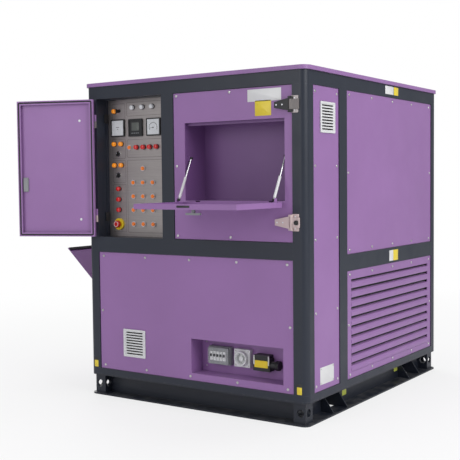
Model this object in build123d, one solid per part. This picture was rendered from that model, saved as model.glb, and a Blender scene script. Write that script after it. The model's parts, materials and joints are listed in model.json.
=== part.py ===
from build123d import *
import os
from math import atan2, degrees, hypot

# Driving dimensions, in millimetres. Front is -Y, the right side is +X, the ground is z = 0.
WIDTH = 1400.0
DEPTH = 1650.0
PANEL_TALL = 1500.0
POST = 75.0
CORNER_R = 35.0
BEAM_TOP = 120.0
LOW_RAIL = 32.0
TOP_RAIL = 68.0
ROOF_THICK = 20.0
ROOF_LIP = 10.0
RAIL_DEEP = 60.0
MEMBER_DEEP = 40.0

# Outer faces and levels that everything else is placed from.
XR = WIDTH / 2
YF = -DEPTH / 2
YB = DEPTH / 2
PX = XR - POST
PY = YB - POST
PANEL_Z0 = BEAM_TOP + LOW_RAIL
PANEL_Z1 = PANEL_Z0 + PANEL_TALL
RAIL_TOP = PANEL_Z1 + TOP_RAIL
ROOF_TOP = RAIL_TOP + ROOF_THICK

# Rails and dividers between the posts.
MID_Z0 = PANEL_Z0 + 655.0
MID_Z1 = MID_Z0 + 84.0
SIDE_MID_Z0 = MID_Z0 - 85.0
CTRL_WIDE = 455.0
DIVIDER = 78.5
FRONT_DIV_X0 = -PX + CTRL_WIDE
FRONT_DIV_X1 = FRONT_DIV_X0 + DIVIDER
NARROW_WIDE = 270.0
SIDE_DIV_Y0 = -PY + NARROW_WIDE
SIDE_DIV_Y1 = SIDE_DIV_Y0 + 85.0
LEFT_WIDE = 705.0
LEFT_DIV_Y0 = -PY + LEFT_WIDE
LEFT_DIV_Y1 = LEFT_DIV_Y0 + 75.0

# Sheet metal.
SHEET = 3.0
LINING = 2.0
PANEL_BACK = 4.0
EDGE_GAP = 2.5
MOVING_GAP = 0.4
FACE_Y = YF + PANEL_BACK
LIP_DEEP = 22.0
VENT = 150.0
FRONT_VENT = (-PX + 248.0, PANEL_Z0 + 160.0)
SIDE_VENT = (-PY + 147.0, PANEL_Z1 - 151.0)

# Skid base.
FLANGE = 88.0
STEEL = 8.0
WEB = FLANGE - STEEL
FORK_CENTRES = (YF + 363.0, YB - 322.0)
FORK_WIDE = 160.0
FORK_WALL = 6.0
ANCHOR_IN_X = 140.0
ANCHOR_IN_Y = 36.0
ANCHOR_R = 9.0
CORNER_INSET = 20.0
LUG_R = 20.0
CROSS_BEAM_YS = (-262.0, 0.0, 262.0)
DECK = 4.0
DECK_TOP = BEAM_TOP + DECK

# Hatch box and its flap, on the access door.
HATCH_TALL = 400.0
HATCH_X1 = PX - 44.0
HATCH_X0 = FRONT_DIV_X1 + 72.5
HATCH_Z1 = PANEL_Z1 - 158.0
HATCH_Z0 = HATCH_Z1 - HATCH_TALL
HATCH_DEEP = 185.0
FLAP_AXIS_Y = YF + 8.0
FLAP_AXIS_Z = HATCH_Z0 - 26.0
FLAP_REACH = HATCH_TALL + 24.0
FLAP_ROOT = 28.5
FLAP_THICK = 26.0
FLAP_DROP = 6.0
FLAP_HINGE_XS = (HATCH_X0 + 79.0, HATCH_X1 - 79.0)
FLAP_HINGE_HALF = 12.0
DOOR_AXIS_X = PX - 2.0
DOOR_AXIS_Y = YF - 10.0
STRAP_ZS = (MID_Z1 + 99.0, PANEL_Z1 - 96.0)

# Control door: closed it covers the control bay, as built it stands open.
CTRL_X0 = -PX
CTRL_Z0 = MID_Z1 + EDGE_GAP
CTRL_Z1 = PANEL_Z1 - EDGE_GAP
CTRL_AXIS_Y = YF - 10.0
CTRL_OPEN = 158.3
CTRL_FACE = YF + 1.0
DOOR_LEAF_ZS = (CTRL_Z0 + 116.5, CTRL_Z1 - 119.5)
LATCH_X = FRONT_DIV_X0 - 40.0
LATCH_Z = CTRL_Z0 + 306.5
PLATE_Y = YF + 97.0
BAY_BACK = YF + 265.0
BAY_X0 = CTRL_X0 + LINING
BAY_X1 = FRONT_DIV_X0

# Gas struts.
STRUT_IN = 16.0
STRUT_XS = (HATCH_X0 + STRUT_IN, HATCH_X1 - STRUT_IN)
STRUT_WALL = (FLAP_AXIS_Y + 30.0, FLAP_AXIS_Z + 245.0)
STRUT_FLAP = (FLAP_AXIS_Y - 81.0, FLAP_AXIS_Z + 32.0)
STRUT_R = 7.0
ROD_R = 4.0
EYE_R = 6.0

# Left hatch with its flap standing part open.
LEFT_Y0 = -PY + 90.0
LEFT_Y1 = LEFT_Y0 + 600.0
LEFT_LONG = 410.0
LEFT_Z = PANEL_Z0 + 374.0
LEFT_OPEN = 47.7
LEFT_AXIS_X = -XR - 8.0

# Socket recess.
SOCKET_WIDE = 559.0
SOCKET_TALL = 182.0
SOCKET_X1 = PX - 60.0
SOCKET_X0 = SOCKET_X1 - SOCKET_WIDE
SOCKET_Z0 = PANEL_Z0 + 39.0
SOCKET_Z1 = SOCKET_Z0 + SOCKET_TALL
SOCKET_BACK = YF + 105.0
FITTING_Z = SOCKET_Z0 + 47.0

# Air path and what stands inside.
LOUVRE_COUNT = 10
LOUVRE_EDGE = 50.0
REAR_LOUVRES = 20
REAR_EDGE = 120.0
FAN_X = XR - 210.0
FAN_Y = (SIDE_DIV_Y1 + PY) / 2
FAN_Z = (PANEL_Z0 + SIDE_MID_Z0) / 2
FAN_R = 250.0
HUB_R = 60.0
RACK_Y0 = YF + 975.0
RACK_Y1 = YB - 125.0
RACK_Z0 = MID_Z0 - 47.0
RACK_Z1 = PANEL_Z1 - 92.0
RACK_XS = (-XR + 220.0, XR - 430.0)
ELEMENT_R = 10.0
TERMINAL_X = -XR + 100.0


def block(x0, x1, y0, y1, z0, z1):
    """A box between two opposite corners."""
    return Pos((x0 + x1) / 2, (y0 + y1) / 2, (z0 + z1) / 2) * Box(abs(x1 - x0), abs(y1 - y0), abs(z1 - z0))


def rod_x(x0, x1, y, z, r):
    """A round bar along X."""
    return Pos((x0 + x1) / 2, y, z) * Rot(0, 90, 0) * Cylinder(r, abs(x1 - x0))


def rod_y(x, y0, y1, z, r):
    """A round bar along Y."""
    return Pos(x, (y0 + y1) / 2, z) * Rot(90, 0, 0) * Cylinder(r, abs(y1 - y0))


def rod_z(x, y, z0, z1, r):
    """A round bar along Z."""
    return Pos(x, y, (z0 + z1) / 2) * Cylinder(r, abs(z1 - z0))


def rounded_plan(half_x, half_y, radius, z0, z1):
    """A slab with rounded upright corners."""
    outline = RectangleRounded(2 * half_x, 2 * half_y, radius)
    return Pos(0, 0, z0) * extrude(outline, z1 - z0)


def ring(deep, z0, z1):
    """A closed frame ring along the cabinet's outline."""
    outer = rounded_plan(XR, YB, CORNER_R, z0, z1)
    return outer - block(-XR + deep, XR - deep, YF + deep, YB - deep, z0 - 1, z1 + 1)


def save(shape, node):
    """Write one node's STEP file."""
    export_step(shape, "parts/" + node + ".step")


def joined(shapes):
    """All shapes of a list as one node."""
    shapes = list(shapes)
    whole = shapes[0]
    if len(shapes) > 1:
        whole = whole + shapes[1:]
    return whole


def apart(shapes):
    """Separate solids kept together in one node."""
    return Compound(children=list(shapes))


# --- skid base -------------------------------------------------------------------------------

def fork_span(centre):
    """The two sides of a fork pocket along Y."""
    return centre - FORK_WIDE / 2, centre + FORK_WIDE / 2


def skid_beams():
    """Outward channels under all four sides, tied by three cross beams."""
    low = ring(FLANGE, 0, STEEL)
    high = ring(FLANGE, BEAM_TOP - STEEL, BEAM_TOP)
    pieces = [low, high, floor_deck()]
    for side in (-1, 1):
        front = block(-XR + WEB, XR - WEB, side * (YB - WEB), side * (YB - FLANGE), STEEL, BEAM_TOP - STEEL)
        pieces.append(front)
        stops = [YF + FLANGE]
        for centre in FORK_CENTRES:
            stops.extend(fork_span(centre))
        stops.append(YB - FLANGE)
        for start, end in zip(stops[::2], stops[1::2]):
            pieces.append(block(side * (XR - WEB), side * (XR - FLANGE), start, end, STEEL, BEAM_TOP - STEEL))
    inner = XR - FLANGE
    for y in CROSS_BEAM_YS:
        pieces.append(block(-inner, inner, y - FLANGE / 2, y + FLANGE / 2, 0, STEEL))
        pieces.append(block(-inner, inner, y - STEEL / 2, y + STEEL / 2, STEEL, BEAM_TOP - STEEL))
        pieces.append(block(-inner, inner, y - FLANGE / 2, y + FLANGE / 2, BEAM_TOP - STEEL, BEAM_TOP))
    body = joined(pieces + corner_lugs())
    x = XR - ANCHOR_IN_X
    y = YB - ANCHOR_IN_Y
    holes = [rod_z(sx * x, sy * y, -1, STEEL + 1, ANCHOR_R) for sx in (-1, 1) for sy in (-1, 1)]
    return body - holes


def corner_lugs():
    """A square tube with cross holes for a lashing hook, set in from each corner."""
    pieces = []
    out_x = XR - CORNER_INSET
    out_y = YB - CORNER_INSET
    for sx in (-1, 1):
        for sy in (-1, 1):
            x0 = sx * (XR - FLANGE)
            y0 = sy * (YB - FLANGE)
            tube = block(x0, sx * out_x, y0, sy * out_y, STEEL, BEAM_TOP - STEEL)
            middle_x = sx * (XR - WEB + out_x) / 2
            middle_y = sy * (YB - WEB + out_y) / 2
            z = BEAM_TOP / 2
            tube = tube - rod_x(x0 - sx, sx * XR, middle_y, z, LUG_R)
            pieces.append(tube - rod_y(middle_x, y0 - sy, sy * YB, z, LUG_R))
    return pieces


def fork_pockets():
    """Two inverted channels across the base, each with triangular gussets at both ends."""
    pieces = []
    inner = XR - WEB
    for centre in FORK_CENTRES:
        y0, y1 = fork_span(centre)
        top = BEAM_TOP - STEEL
        pieces.append(block(-inner, inner, y0, y1, top - FORK_WALL, top))
        for a, b in ((y0, y0 + FORK_WALL), (y1 - FORK_WALL, y1)):
            pieces.append(block(-inner, inner, a, b, STEEL, top - FORK_WALL))
            for side in (-1, 1):
                outline = Polyline((inner, STEEL), (XR - 4, STEEL), (inner, top), close=True)
                gusset = extrude(make_face(Plane.XZ * outline), (b - a) / 2, both=True)
                turn = Rot(0, 0, 0 if side > 0 else 180)
                pieces.append(Pos(0, (a + b) / 2, 0) * turn * gusset)
    return joined(pieces)


# --- frame, roof and fixed panels ----------------------------------------------------------------

def corner_posts():
    """Four hollow corner posts with a rounded outer edge."""
    slab = rounded_plan(XR, YB, CORNER_R, PANEL_Z0, PANEL_Z1)
    posts = []
    for sx in (-1, 1):
        for sy in (-1, 1):
            corner = block(sx * PX, sx * XR, sy * PY, sy * YB, PANEL_Z0, PANEL_Z1)
            posts.append(slab & corner)
    return joined(posts)


def frame_rails():
    """Top and bottom rings with the mid rails and dividers between the posts."""
    low = ring(RAIL_DEEP, BEAM_TOP, PANEL_Z0)
    high = ring(RAIL_DEEP, PANEL_Z1, RAIL_TOP)
    deep = MEMBER_DEEP
    members = [
        block(-PX, PX, YF, YF + deep, MID_Z0, MID_Z1),
        block(FRONT_DIV_X0, FRONT_DIV_X1, YF, YF + deep, MID_Z1, PANEL_Z1),
        block(XR - deep, XR, SIDE_DIV_Y0, SIDE_DIV_Y1, PANEL_Z0, PANEL_Z1),
        block(XR - deep, XR, SIDE_DIV_Y1, PY, SIDE_MID_Z0, MID_Z0),
        block(-XR, -XR + deep, LEFT_DIV_Y0, LEFT_DIV_Y1, PANEL_Z0, PANEL_Z1),
    ]
    return joined([low, high] + members)


def roof_cover():
    """A shallow roof cap that laps over the top rail."""
    return rounded_plan(XR + ROOF_LIP, YB + ROOF_LIP, CORNER_R + ROOF_LIP, RAIL_TOP, ROOF_TOP)


def tray(a0, a1, z0, z1):
    """A pressed panel: face plate with a shadow gap, and a rim behind it. Built facing -Y at y = 0."""
    face = block(a0 + EDGE_GAP, a1 - EDGE_GAP, 0, SHEET, z0 + EDGE_GAP, z1 - EDGE_GAP)
    rim = block(a0, a1, SHEET, 2 * SHEET, z0, z1)
    return face + rim


def front_place(shape):
    """Stand a panel in the front face."""
    return Pos(0, YF + PANEL_BACK, 0) * shape


def right_place(shape):
    """Stand a panel in the right side. The panel's own x becomes y."""
    return Pos(XR - PANEL_BACK, 0, 0) * Rot(0, 0, 90) * shape


def left_place(shape):
    """Stand a panel in the left side. The panel's own x becomes -y."""
    return Pos(-XR + PANEL_BACK, 0, 0) * Rot(0, 0, -90) * shape


def rear_place(shape):
    """Stand a panel in the rear face. The panel's own x becomes -x."""
    return Pos(0, YB - PANEL_BACK, 0) * Rot(0, 0, 180) * shape


def window(a0, a1, z0, z1):
    """A cutter through a panel."""
    return block(a0, a1, -5, 30, z0, z1)


def lower_front_panel():
    """The panel under the mid rail with its vent and socket openings."""
    panel = tray(-PX, PX, PANEL_Z0, MID_Z0)
    x, z = FRONT_VENT
    panel = panel - window(x - VENT / 2, x + VENT / 2, z - VENT / 2, z + VENT / 2)
    return front_place(panel - window(SOCKET_X0, SOCKET_X1, SOCKET_Z0, SOCKET_Z1))


def right_narrow_panel():
    """The upright panel near the front with its vent opening."""
    panel = tray(-PY, SIDE_DIV_Y0, PANEL_Z0, PANEL_Z1)
    y, z = SIDE_VENT
    return right_place(panel - window(y - VENT / 2, y + VENT / 2, z - VENT / 2, z + VENT / 2))


def right_upper_panel():
    """The large plain panel over the louvred one."""
    return right_place(tray(SIDE_DIV_Y1, PY, MID_Z0, PANEL_Z1))


def louvre_bank(a0, a1, z0, z1, count):
    """Curled slats across an opening, facing -Y: each hangs its lower edge in front of a dark gap."""
    pitch = (z1 - z0) / count
    slats = []
    for index in range(count):
        base = z0 + index * pitch
        points = ((0, 0.03), (-2, 0.2), (-2, 0.45), (2, 0.66), (16, 0.75), (16, 0.69), (4.5, 0.6), (1.2, 0.44),
                  (1.2, 0.2), (3, 0.03))
        outline = Polyline(*[(y, base + share * pitch) for y, share in points], close=True)
        face = make_face(Plane.YZ * outline)
        slats.append(Pos(a0, 0, 0) * extrude(face, a1 - a0, dir=(1, 0, 0)))
    return slats


def louvred_panel(a0, a1, z0, z1, edge, count):
    """A panel with a bank of louvres let into it."""
    low = z0 + 0.65 * edge
    high = z1 - 0.95 * edge
    panel = tray(a0, a1, z0, z1) - window(a0 + edge, a1 - edge, low, high)
    return joined([panel] + louvre_bank(a0 + edge, a1 - edge, low, high, count))


def left_hatch_panel():
    """The left front panel with the terminal hatch opening."""
    panel = tray(-LEFT_DIV_Y0, PY, PANEL_Z0, PANEL_Z1)
    return left_place(panel - window(-LEFT_Y1, -LEFT_Y0, LEFT_Z, LEFT_Z + LEFT_LONG - 10))


def left_rear_panel():
    """The plain left rear panel."""
    return left_place(tray(-PY, -LEFT_DIV_Y1, PANEL_Z0, PANEL_Z1))


def spread(first, last, count):
    """Evenly spaced positions from first to last."""
    return [first + (last - first) * i / (count - 1) for i in range(count)]


def border_points(a0, a1, z0, z1, across):
    """Screw places along the top and bottom of a panel, and one each side half way up."""
    points = []
    for a in spread(a0 + 34, a1 - 34, across):
        points.append((a, z0 + 22))
        points.append((a, z1 - 22))
    middle = (z0 + z1) / 2
    points.append((a0 + 20, middle))
    points.append((a1 - 20, middle))
    return points


def screw():
    """A pan-head screw standing on the plane y = 0, head towards -Y."""
    head = Cylinder(7, 3)
    head = chamfer(head.edges().group_by(Axis.Z)[-1], 1.2)
    return Pos(0, -1.5, 0) * Rot(90, 0, 0) * head


def panel_screws():
    """Every pan-head screw of the fixed panels and the roof's corner bolts."""
    front = border_points(-PX, PX, PANEL_Z0, MID_Z0, 5)
    narrow = [(a, z) for a in (-PY + 22, SIDE_DIV_Y0 - 22) for z in spread(PANEL_Z0 + 30, PANEL_Z1 - 30, 5)]
    upper = border_points(SIDE_DIV_Y1, PY, MID_Z0, PANEL_Z1, 5)
    louvre = border_points(SIDE_DIV_Y1, PY, PANEL_Z0, SIDE_MID_Z0, 5)
    left_a = border_points(-LEFT_DIV_Y0, PY, PANEL_Z0, PANEL_Z1, 4)
    left_b = border_points(-PY, -LEFT_DIV_Y1, PANEL_Z0, PANEL_Z1, 4)
    rear = border_points(-PX, PX, PANEL_Z0, PANEL_Z1, 5)
    heads = [front_place(Pos(a, 0, z) * screw()) for a, z in front]
    heads += [right_place(Pos(a, 0, z) * screw()) for a, z in narrow + upper + louvre]
    heads += [left_place(Pos(a, 0, z) * screw()) for a, z in left_a + left_b]
    heads += [rear_place(Pos(a, 0, z) * screw()) for a, z in rear]
    for sx in (-1, 1):
        for sy in (-1, 1):
            heads.append(rod_z(sx * (XR - 30), sy * (YB - 70), ROOF_TOP, ROOF_TOP + 5, 7))
            heads.append(rod_z(sx * (XR - 70), sy * (YB - 30), ROOF_TOP, ROOF_TOP + 5, 7))
    return apart(heads)


def grille(a, z):
    """A square slotted vent grille, facing -Y, that covers its opening."""
    half = VENT / 2
    frame = block(a - half, a + half, -4, 0, z - half, z + half)
    reach = half - 17
    slots = [block(a - reach, a + reach, -6, 2, level - 3.5, level + 3.5) for level in spread(z - reach, z + reach, 9)]
    return frame - slots


def vent_grilles():
    """The two white vent grilles."""
    front = front_place(grille(*FRONT_VENT))
    side = right_place(grille(*SIDE_VENT))
    return apart([front, side])


# --- socket recess ---------------------------------------------------------------------------

def open_box(x0, x1, y0, y1, z0, z1, wall):
    """A box open towards -Y."""
    outer = block(x0 - wall, x1 + wall, y0, y1 + wall, z0 - wall, z1 + wall)
    return outer - block(x0, x1, y0 - 1, y1, z0, z1)


def socket_recess_box():
    """The steel box behind the socket opening."""
    start = YF + PANEL_BACK + 2 * SHEET
    return open_box(SOCKET_X0, SOCKET_X1, start, SOCKET_BACK, SOCKET_Z0, SOCKET_Z1, 2)


def breaker_box():
    """The small breaker enclosure with its hinged clear cover shut."""
    x = SOCKET_X0 + 65
    body = block(x, x + 133, SOCKET_BACK - 30, SOCKET_BACK, FITTING_Z, FITTING_Z + 94)
    cover = block(x + 4, x + 129, SOCKET_BACK - 44, SOCKET_BACK - 30, FITTING_Z + 4, FITTING_Z + 90)
    cover = fillet(cover.edges().filter_by(Axis.Y), 5)
    return body + cover


def socket_outlet():
    """The square outlet with a round socket face."""
    x = SOCKET_X0 + 269.5
    z = FITTING_Z + 46
    body = block(x - 47.5, x + 47.5, SOCKET_BACK - 28, SOCKET_BACK, z - 46, z + 46)
    ring_out = rod_y(x, SOCKET_BACK - 40, SOCKET_BACK - 28, z, 34)
    well = rod_y(x, SOCKET_BACK - 41, SOCKET_BACK - 20, z, 27)
    centre = rod_y(x, SOCKET_BACK - 38, SOCKET_BACK - 20, z, 12)
    return (body + ring_out) - well + centre


def cable_connector():
    """The heavy-duty connector housing with a side gland."""
    x = SOCKET_X0 + 348
    z = FITTING_Z - 4
    body = block(x, x + 98, SOCKET_BACK - 46, SOCKET_BACK, z, z + 66)
    lid = block(x + 6, x + 92, SOCKET_BACK - 50, SOCKET_BACK, z + 66, z + 82)
    gland = rod_x(x + 98, x + 128, SOCKET_BACK - 24, z + 32, 20)
    nut = rod_x(x + 128, x + 146, SOCKET_BACK - 24, z + 32, 24)
    return joined([body, lid, gland, nut])


# --- control bay -----------------------------------------------------------------------------

def control_bay_box():
    """The dark lining of the control bay and the box that holds the wiring behind the panel."""
    start = YF + MEMBER_DEEP
    outer = block(BAY_X0 - LINING, BAY_X1 + LINING, start, BAY_BACK, MID_Z1 - LINING, PANEL_Z1)
    inner = block(BAY_X0, BAY_X1, start - 1, BAY_BACK - LINING, MID_Z1, PANEL_Z1 - LINING)
    notch = block(BAY_X0 - 3, BAY_X0 + 1, YF, -PY, MID_Z1 - 3, PANEL_Z1 + 1)
    return outer - inner - notch


def control_panel():
    """The stainless control plate."""
    return block(BAY_X0, BAY_X1, PLATE_Y, PLATE_Y + LINING, MID_Z1, PANEL_Z1 - LINING)


def on_plate(points):
    """Places on the control plate, given from the bay's left edge and its floor."""
    return [(CTRL_X0 + x, MID_Z1 + z) for x, z in points]


METERS = on_plate(((75, 603), (202, 601), (329, 601)))
SIGNAL_LAMPS = on_plate(((51, 697), (182, 712), (251, 712), (320, 712), (48, 516), (97, 516), (48, 398), (97, 398),
                         (75, 265), (75, 206), (75, 148), (207, 493), (256, 493), (301, 493), (348, 493)))
KEY = on_plate([(84, 697)])[0]
SELECTORS = on_plate(((75, 461), (75, 342)))
MASTER = on_plate([(158, 493)])[0]
AUX = on_plate([(252, 376)])[0]
STEP_BUTTONS = on_plate([(x, z) for z in (299, 223, 147, 70) for x in (182, 251, 320)])
ESTOP = on_plate([(74, 68)])[0]


def panel_meters():
    """Three square meters, each a case behind a raised bezel."""
    cases = []
    for x, z in METERS:
        bezel = block(x - 48, x + 48, PLATE_Y - 10, PLATE_Y, z - 48, z + 48)
        bezel = fillet(bezel.edges().filter_by(Axis.Y), 4)
        cases.append(bezel - block(x - 42, x + 42, PLATE_Y - 11, PLATE_Y - 7, z - 42, z + 42))
    return apart(cases)


def pilot_lamps():
    """Round pilot lamps with domed lenses."""
    lamps = []
    for x, z in SIGNAL_LAMPS:
        skirt = rod_y(x, PLATE_Y - 5, PLATE_Y, z, 14)
        lens = rod_y(x, PLATE_Y - 14, PLATE_Y - 5, z, 11.5)
        lens = chamfer(lens.faces().sort_by(Axis.Y)[0].edges(), 3)
        lamps.append(skirt + lens)
    return apart(lamps)


def button_places():
    """The spring buttons by node name."""
    places = {"master_button": MASTER, "aux_button": AUX}
    for number, place in enumerate(STEP_BUTTONS, 1):
        places["step_button_%02d" % number] = place
    return places


def bezel(x, z, outer, inner, deep):
    """A round collar on the control plate."""
    return rod_y(x, PLATE_Y - deep, PLATE_Y, z, outer) - rod_y(x, PLATE_Y - deep - 1, PLATE_Y - 0.5, z, inner)


def button_bezels():
    """Collars round every button, selector, the key switch and the stop button."""
    collars = [bezel(x, z, 15, 11, 9) for x, z in button_places().values()]
    collars += [bezel(x, z, 15, 11, 5) for x, z in SELECTORS]
    collars.append(bezel(KEY[0], KEY[1], 12, 9, 5))
    collars.append(bezel(ESTOP[0], ESTOP[1], 30.5, 11, STOP_BASE))
    return apart(collars)


BUTTON_TRAVEL = 4.0
STOP_TRAVEL = 6.0
STOP_BASE = 10.0


def button(x, z):
    """A cap that slides inside its collar."""
    cap = rod_y(x, PLATE_Y - 13, PLATE_Y - 0.5 - BUTTON_TRAVEL - MOVING_GAP, z, 10.95)
    return chamfer(cap.faces().sort_by(Axis.Y)[0].edges(), 1.5)


def estop_button():
    """The mushroom head and its stem."""
    x, z = ESTOP
    head = rod_y(x, PLATE_Y - 34, PLATE_Y - STOP_BASE - STOP_TRAVEL - MOVING_GAP, z, 20)
    head = fillet(head.faces().sort_by(Axis.Y)[0].edges(), 7)
    stem = rod_y(x, PLATE_Y - 18, PLATE_Y - 0.5 - STOP_TRAVEL - MOVING_GAP, z, 10.95)
    return head + stem


def selector(x, z):
    """A round knob with a raised grip."""
    knob = rod_y(x, PLATE_Y - 12, PLATE_Y - 0.9, z, 10.95)
    grip = block(x - 4, x + 4, PLATE_Y - 22, PLATE_Y - 12, z - 14, z + 10)
    return knob + grip


def key_switch():
    """The lock barrel with its key left in."""
    x, z = KEY
    barrel = rod_y(x, PLATE_Y - 7, PLATE_Y - 0.9, z, 8.95)
    blade = block(x - 1.2, x + 1.2, PLATE_Y - 18, PLATE_Y - 7, z - 4, z + 4)
    bow = block(x - 1.6, x + 1.6, PLATE_Y - 32, PLATE_Y - 18, z - 10, z + 10)
    return joined([barrel, blade, bow])


# --- control door ----------------------------------------------------------------------------

def door_swing(shape):
    """Turn the shut control door about its hinge pins to where it stands."""
    axis = Pos(CTRL_X0, CTRL_AXIS_Y, 0)
    back = Pos(-CTRL_X0, -CTRL_AXIS_Y, 0)
    return axis * Rot(0, 0, -CTRL_OPEN) * back * shape


def control_door():
    """The pan door with folded edges and its two hinge leaves, standing open."""
    x0 = CTRL_X0 + EDGE_GAP
    x1 = FRONT_DIV_X0 - EDGE_GAP
    y0 = CTRL_FACE
    skin = block(x0, x1, y0, y0 + SHEET, CTRL_Z0, CTRL_Z1)
    fold = block(x0, x1, y0 + SHEET, y0 + 20, CTRL_Z0, CTRL_Z1)
    fold = fold - block(x0 + 3, x1 - 3, y0, y0 + 30, CTRL_Z0 + 3, CTRL_Z1 - 3)
    lips = block(x0 + 3, x1 - 3, y0 + 17, y0 + 20, CTRL_Z0 + 3, CTRL_Z1 - 3)
    lips = lips - block(x0 + 22, x1 - 22, y0, y0 + 30, CTRL_Z0 + 22, CTRL_Z1 - 22)
    pieces = [skin, fold, lips]
    for z in DOOR_LEAF_ZS:
        pin = rod_z(CTRL_X0, CTRL_AXIS_Y, z + MOVING_GAP, z + 36, 6)
        arm = block(CTRL_X0, CTRL_X0 + 40, CTRL_AXIS_Y - 2, CTRL_AXIS_Y + 2, z + MOVING_GAP, z + 36)
        leaf = block(CTRL_X0 + 10, CTRL_X0 + 40, CTRL_AXIS_Y, y0, z + MOVING_GAP, z + 36)
        pieces += [pin, arm, leaf]
    return door_swing(joined(pieces))


def door_latch():
    """The quarter-turn latch of the control door, as turned with the door."""
    y0 = CTRL_FACE
    barrel = rod_y(LATCH_X, y0 - 14, y0 - MOVING_GAP, LATCH_Z, 13)
    grip = block(LATCH_X - 8, LATCH_X + 8, y0 - 24, y0 - 14, LATCH_Z - 45, LATCH_Z + 13)
    return door_swing(barrel + grip)


def fixed_hinge_leaves():
    """Frame halves of the control door hinges and of the access door's strap hinges."""
    pieces = []
    for z in DOOR_LEAF_ZS:
        pin = rod_z(CTRL_X0, CTRL_AXIS_Y, z - 36, z, 6)
        arm = block(CTRL_X0 - 34, CTRL_X0, CTRL_AXIS_Y - 2, CTRL_AXIS_Y + 2, z - 36, z)
        pad = block(CTRL_X0 - 34, CTRL_X0 - 7, CTRL_AXIS_Y, YF, z - 36, z)
        pieces.append(joined([pin, arm, pad]))
    for z in STRAP_ZS:
        pin = rod_z(DOOR_AXIS_X, DOOR_AXIS_Y, z - 24, z + 24, 8)
        arm = block(DOOR_AXIS_X, DOOR_AXIS_X + 42, DOOR_AXIS_Y - 3, DOOR_AXIS_Y + 3, z - 24, z + 24)
        pad = block(DOOR_AXIS_X + 9, DOOR_AXIS_X + 42, DOOR_AXIS_Y, YF, z - 24, z + 24)
        pieces.append(joined([pin, arm, pad]))
    return apart(pieces + left_hinge_blocks())


# --- access door with the hatch box ----------------------------------------------------------------

def access_panel():
    """The hinged front panel that carries the hatch box."""
    x0 = FRONT_DIV_X1 + EDGE_GAP
    x1 = PX - EDGE_GAP
    y0 = FACE_Y
    outer = block(x0, x1, y0, y0 + LIP_DEEP, MID_Z1 + EDGE_GAP, PANEL_Z1 - EDGE_GAP)
    hollow = block(x0 + SHEET, x1 - SHEET, y0 + SHEET, y0 + 30, MID_Z1 + EDGE_GAP + SHEET,
                   PANEL_Z1 - EDGE_GAP - SHEET)
    body = outer - hollow - block(HATCH_X0, HATCH_X1, y0 - 1, y0 + 30, HATCH_Z0, HATCH_Z1)
    for x in FLAP_HINGE_XS:
        slot = FLAP_HINGE_HALF + 2
        body = body - block(x - slot, x + slot, y0 - 1, y0 + 30, FLAP_AXIS_Z - 9, HATCH_Z0)
        for side in (-1, 1):
            near = x + side * (FLAP_HINGE_HALF + 0.5)
            body = body + block(near, near + side * 7.5, y0 + SHEET, y0 + 12, FLAP_AXIS_Z - 8, FLAP_AXIS_Z + 8)
    return body


def strap_hinge_straps():
    """The two door-side straps, knuckles above and below the fixed ones."""
    pieces = []
    for z in STRAP_ZS:
        outline = Polyline((DOOR_AXIS_X - 10, z - 30), (DOOR_AXIS_X - 10, z + 30), (DOOR_AXIS_X - 90, z + 14),
                           (DOOR_AXIS_X - 90, z - 14), close=True)
        face = make_face(Plane.XZ * outline)
        strap = Pos(0, DOOR_AXIS_Y, 0) * extrude(face, 3, both=True)
        pads = block(DOOR_AXIS_X - 70, DOOR_AXIS_X - 14, DOOR_AXIS_Y + 3, YF + PANEL_BACK, z - 14, z + 14)
        knuckles = []
        for a, b in ((z - 38, z - 24 - MOVING_GAP), (z + 24 + MOVING_GAP, z + 38)):
            knuckles.append(rod_z(DOOR_AXIS_X, DOOR_AXIS_Y, a, b, 8))
            knuckles.append(block(DOOR_AXIS_X - 14, DOOR_AXIS_X, DOOR_AXIS_Y - 3, DOOR_AXIS_Y + 3, a, b))
        pieces.append(joined([strap, pads] + knuckles))
    return apart(pieces)


def hatch_box():
    """The compartment box with an upper inner lip and the two wall brackets of the struts."""
    start = FACE_Y + SHEET
    box = open_box(HATCH_X0, HATCH_X1, start, YF + HATCH_DEEP, HATCH_Z0, HATCH_Z1, LINING)
    lip_y = FLAP_AXIS_Y + FLAP_THICK - LINING
    lip = block(HATCH_X0, HATCH_X1, lip_y, lip_y + LINING, HATCH_Z1 - 14, HATCH_Z1)
    pieces = [box, lip]
    y, z = STRUT_WALL
    for x, wall, side in zip(STRUT_XS, (HATCH_X0, HATCH_X1), (-1, 1)):
        pieces.append(block(x + side * (ROD_R + 1.4), wall, y - 8, y + 12, z - 14, z + 14))
    return joined(pieces)


def flap():
    """The tray-shaped flap, drawn open and level, with its hinge strip and strut studs."""
    x0 = HATCH_X0 + EDGE_GAP
    x1 = HATCH_X1 - EDGE_GAP
    z0 = FLAP_AXIS_Z - FLAP_DROP
    z1 = z0 + FLAP_THICK
    y0 = FLAP_AXIS_Y - FLAP_REACH
    y1 = FLAP_AXIS_Y - FLAP_ROOT
    half = FLAP_HINGE_HALF
    pan = block(x0, x1, y0, y1, z0, z1)
    pan = pan - block(x0 + SHEET, x1 - SHEET, y0 + SHEET, y1 - SHEET, z0 + SHEET, z1 + 1)
    arms = [block(x - half, x + half, y1, FLAP_AXIS_Y, z0, z0 + SHEET) for x in FLAP_HINGE_XS]
    arms += [rod_x(x - half, x + half, FLAP_AXIS_Y, FLAP_AXIS_Z, 4) for x in FLAP_HINGE_XS]
    y, z = STRUT_FLAP
    studs = []
    for x, wall, side in zip(STRUT_XS, (x0 + SHEET, x1 - SHEET), (-1, 1)):
        studs.append(block(x + side * (STRUT_R + MOVING_GAP), wall, y - 10, y + 10, z0 + SHEET, z + 8))
    return joined([pan] + arms + studs)


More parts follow.
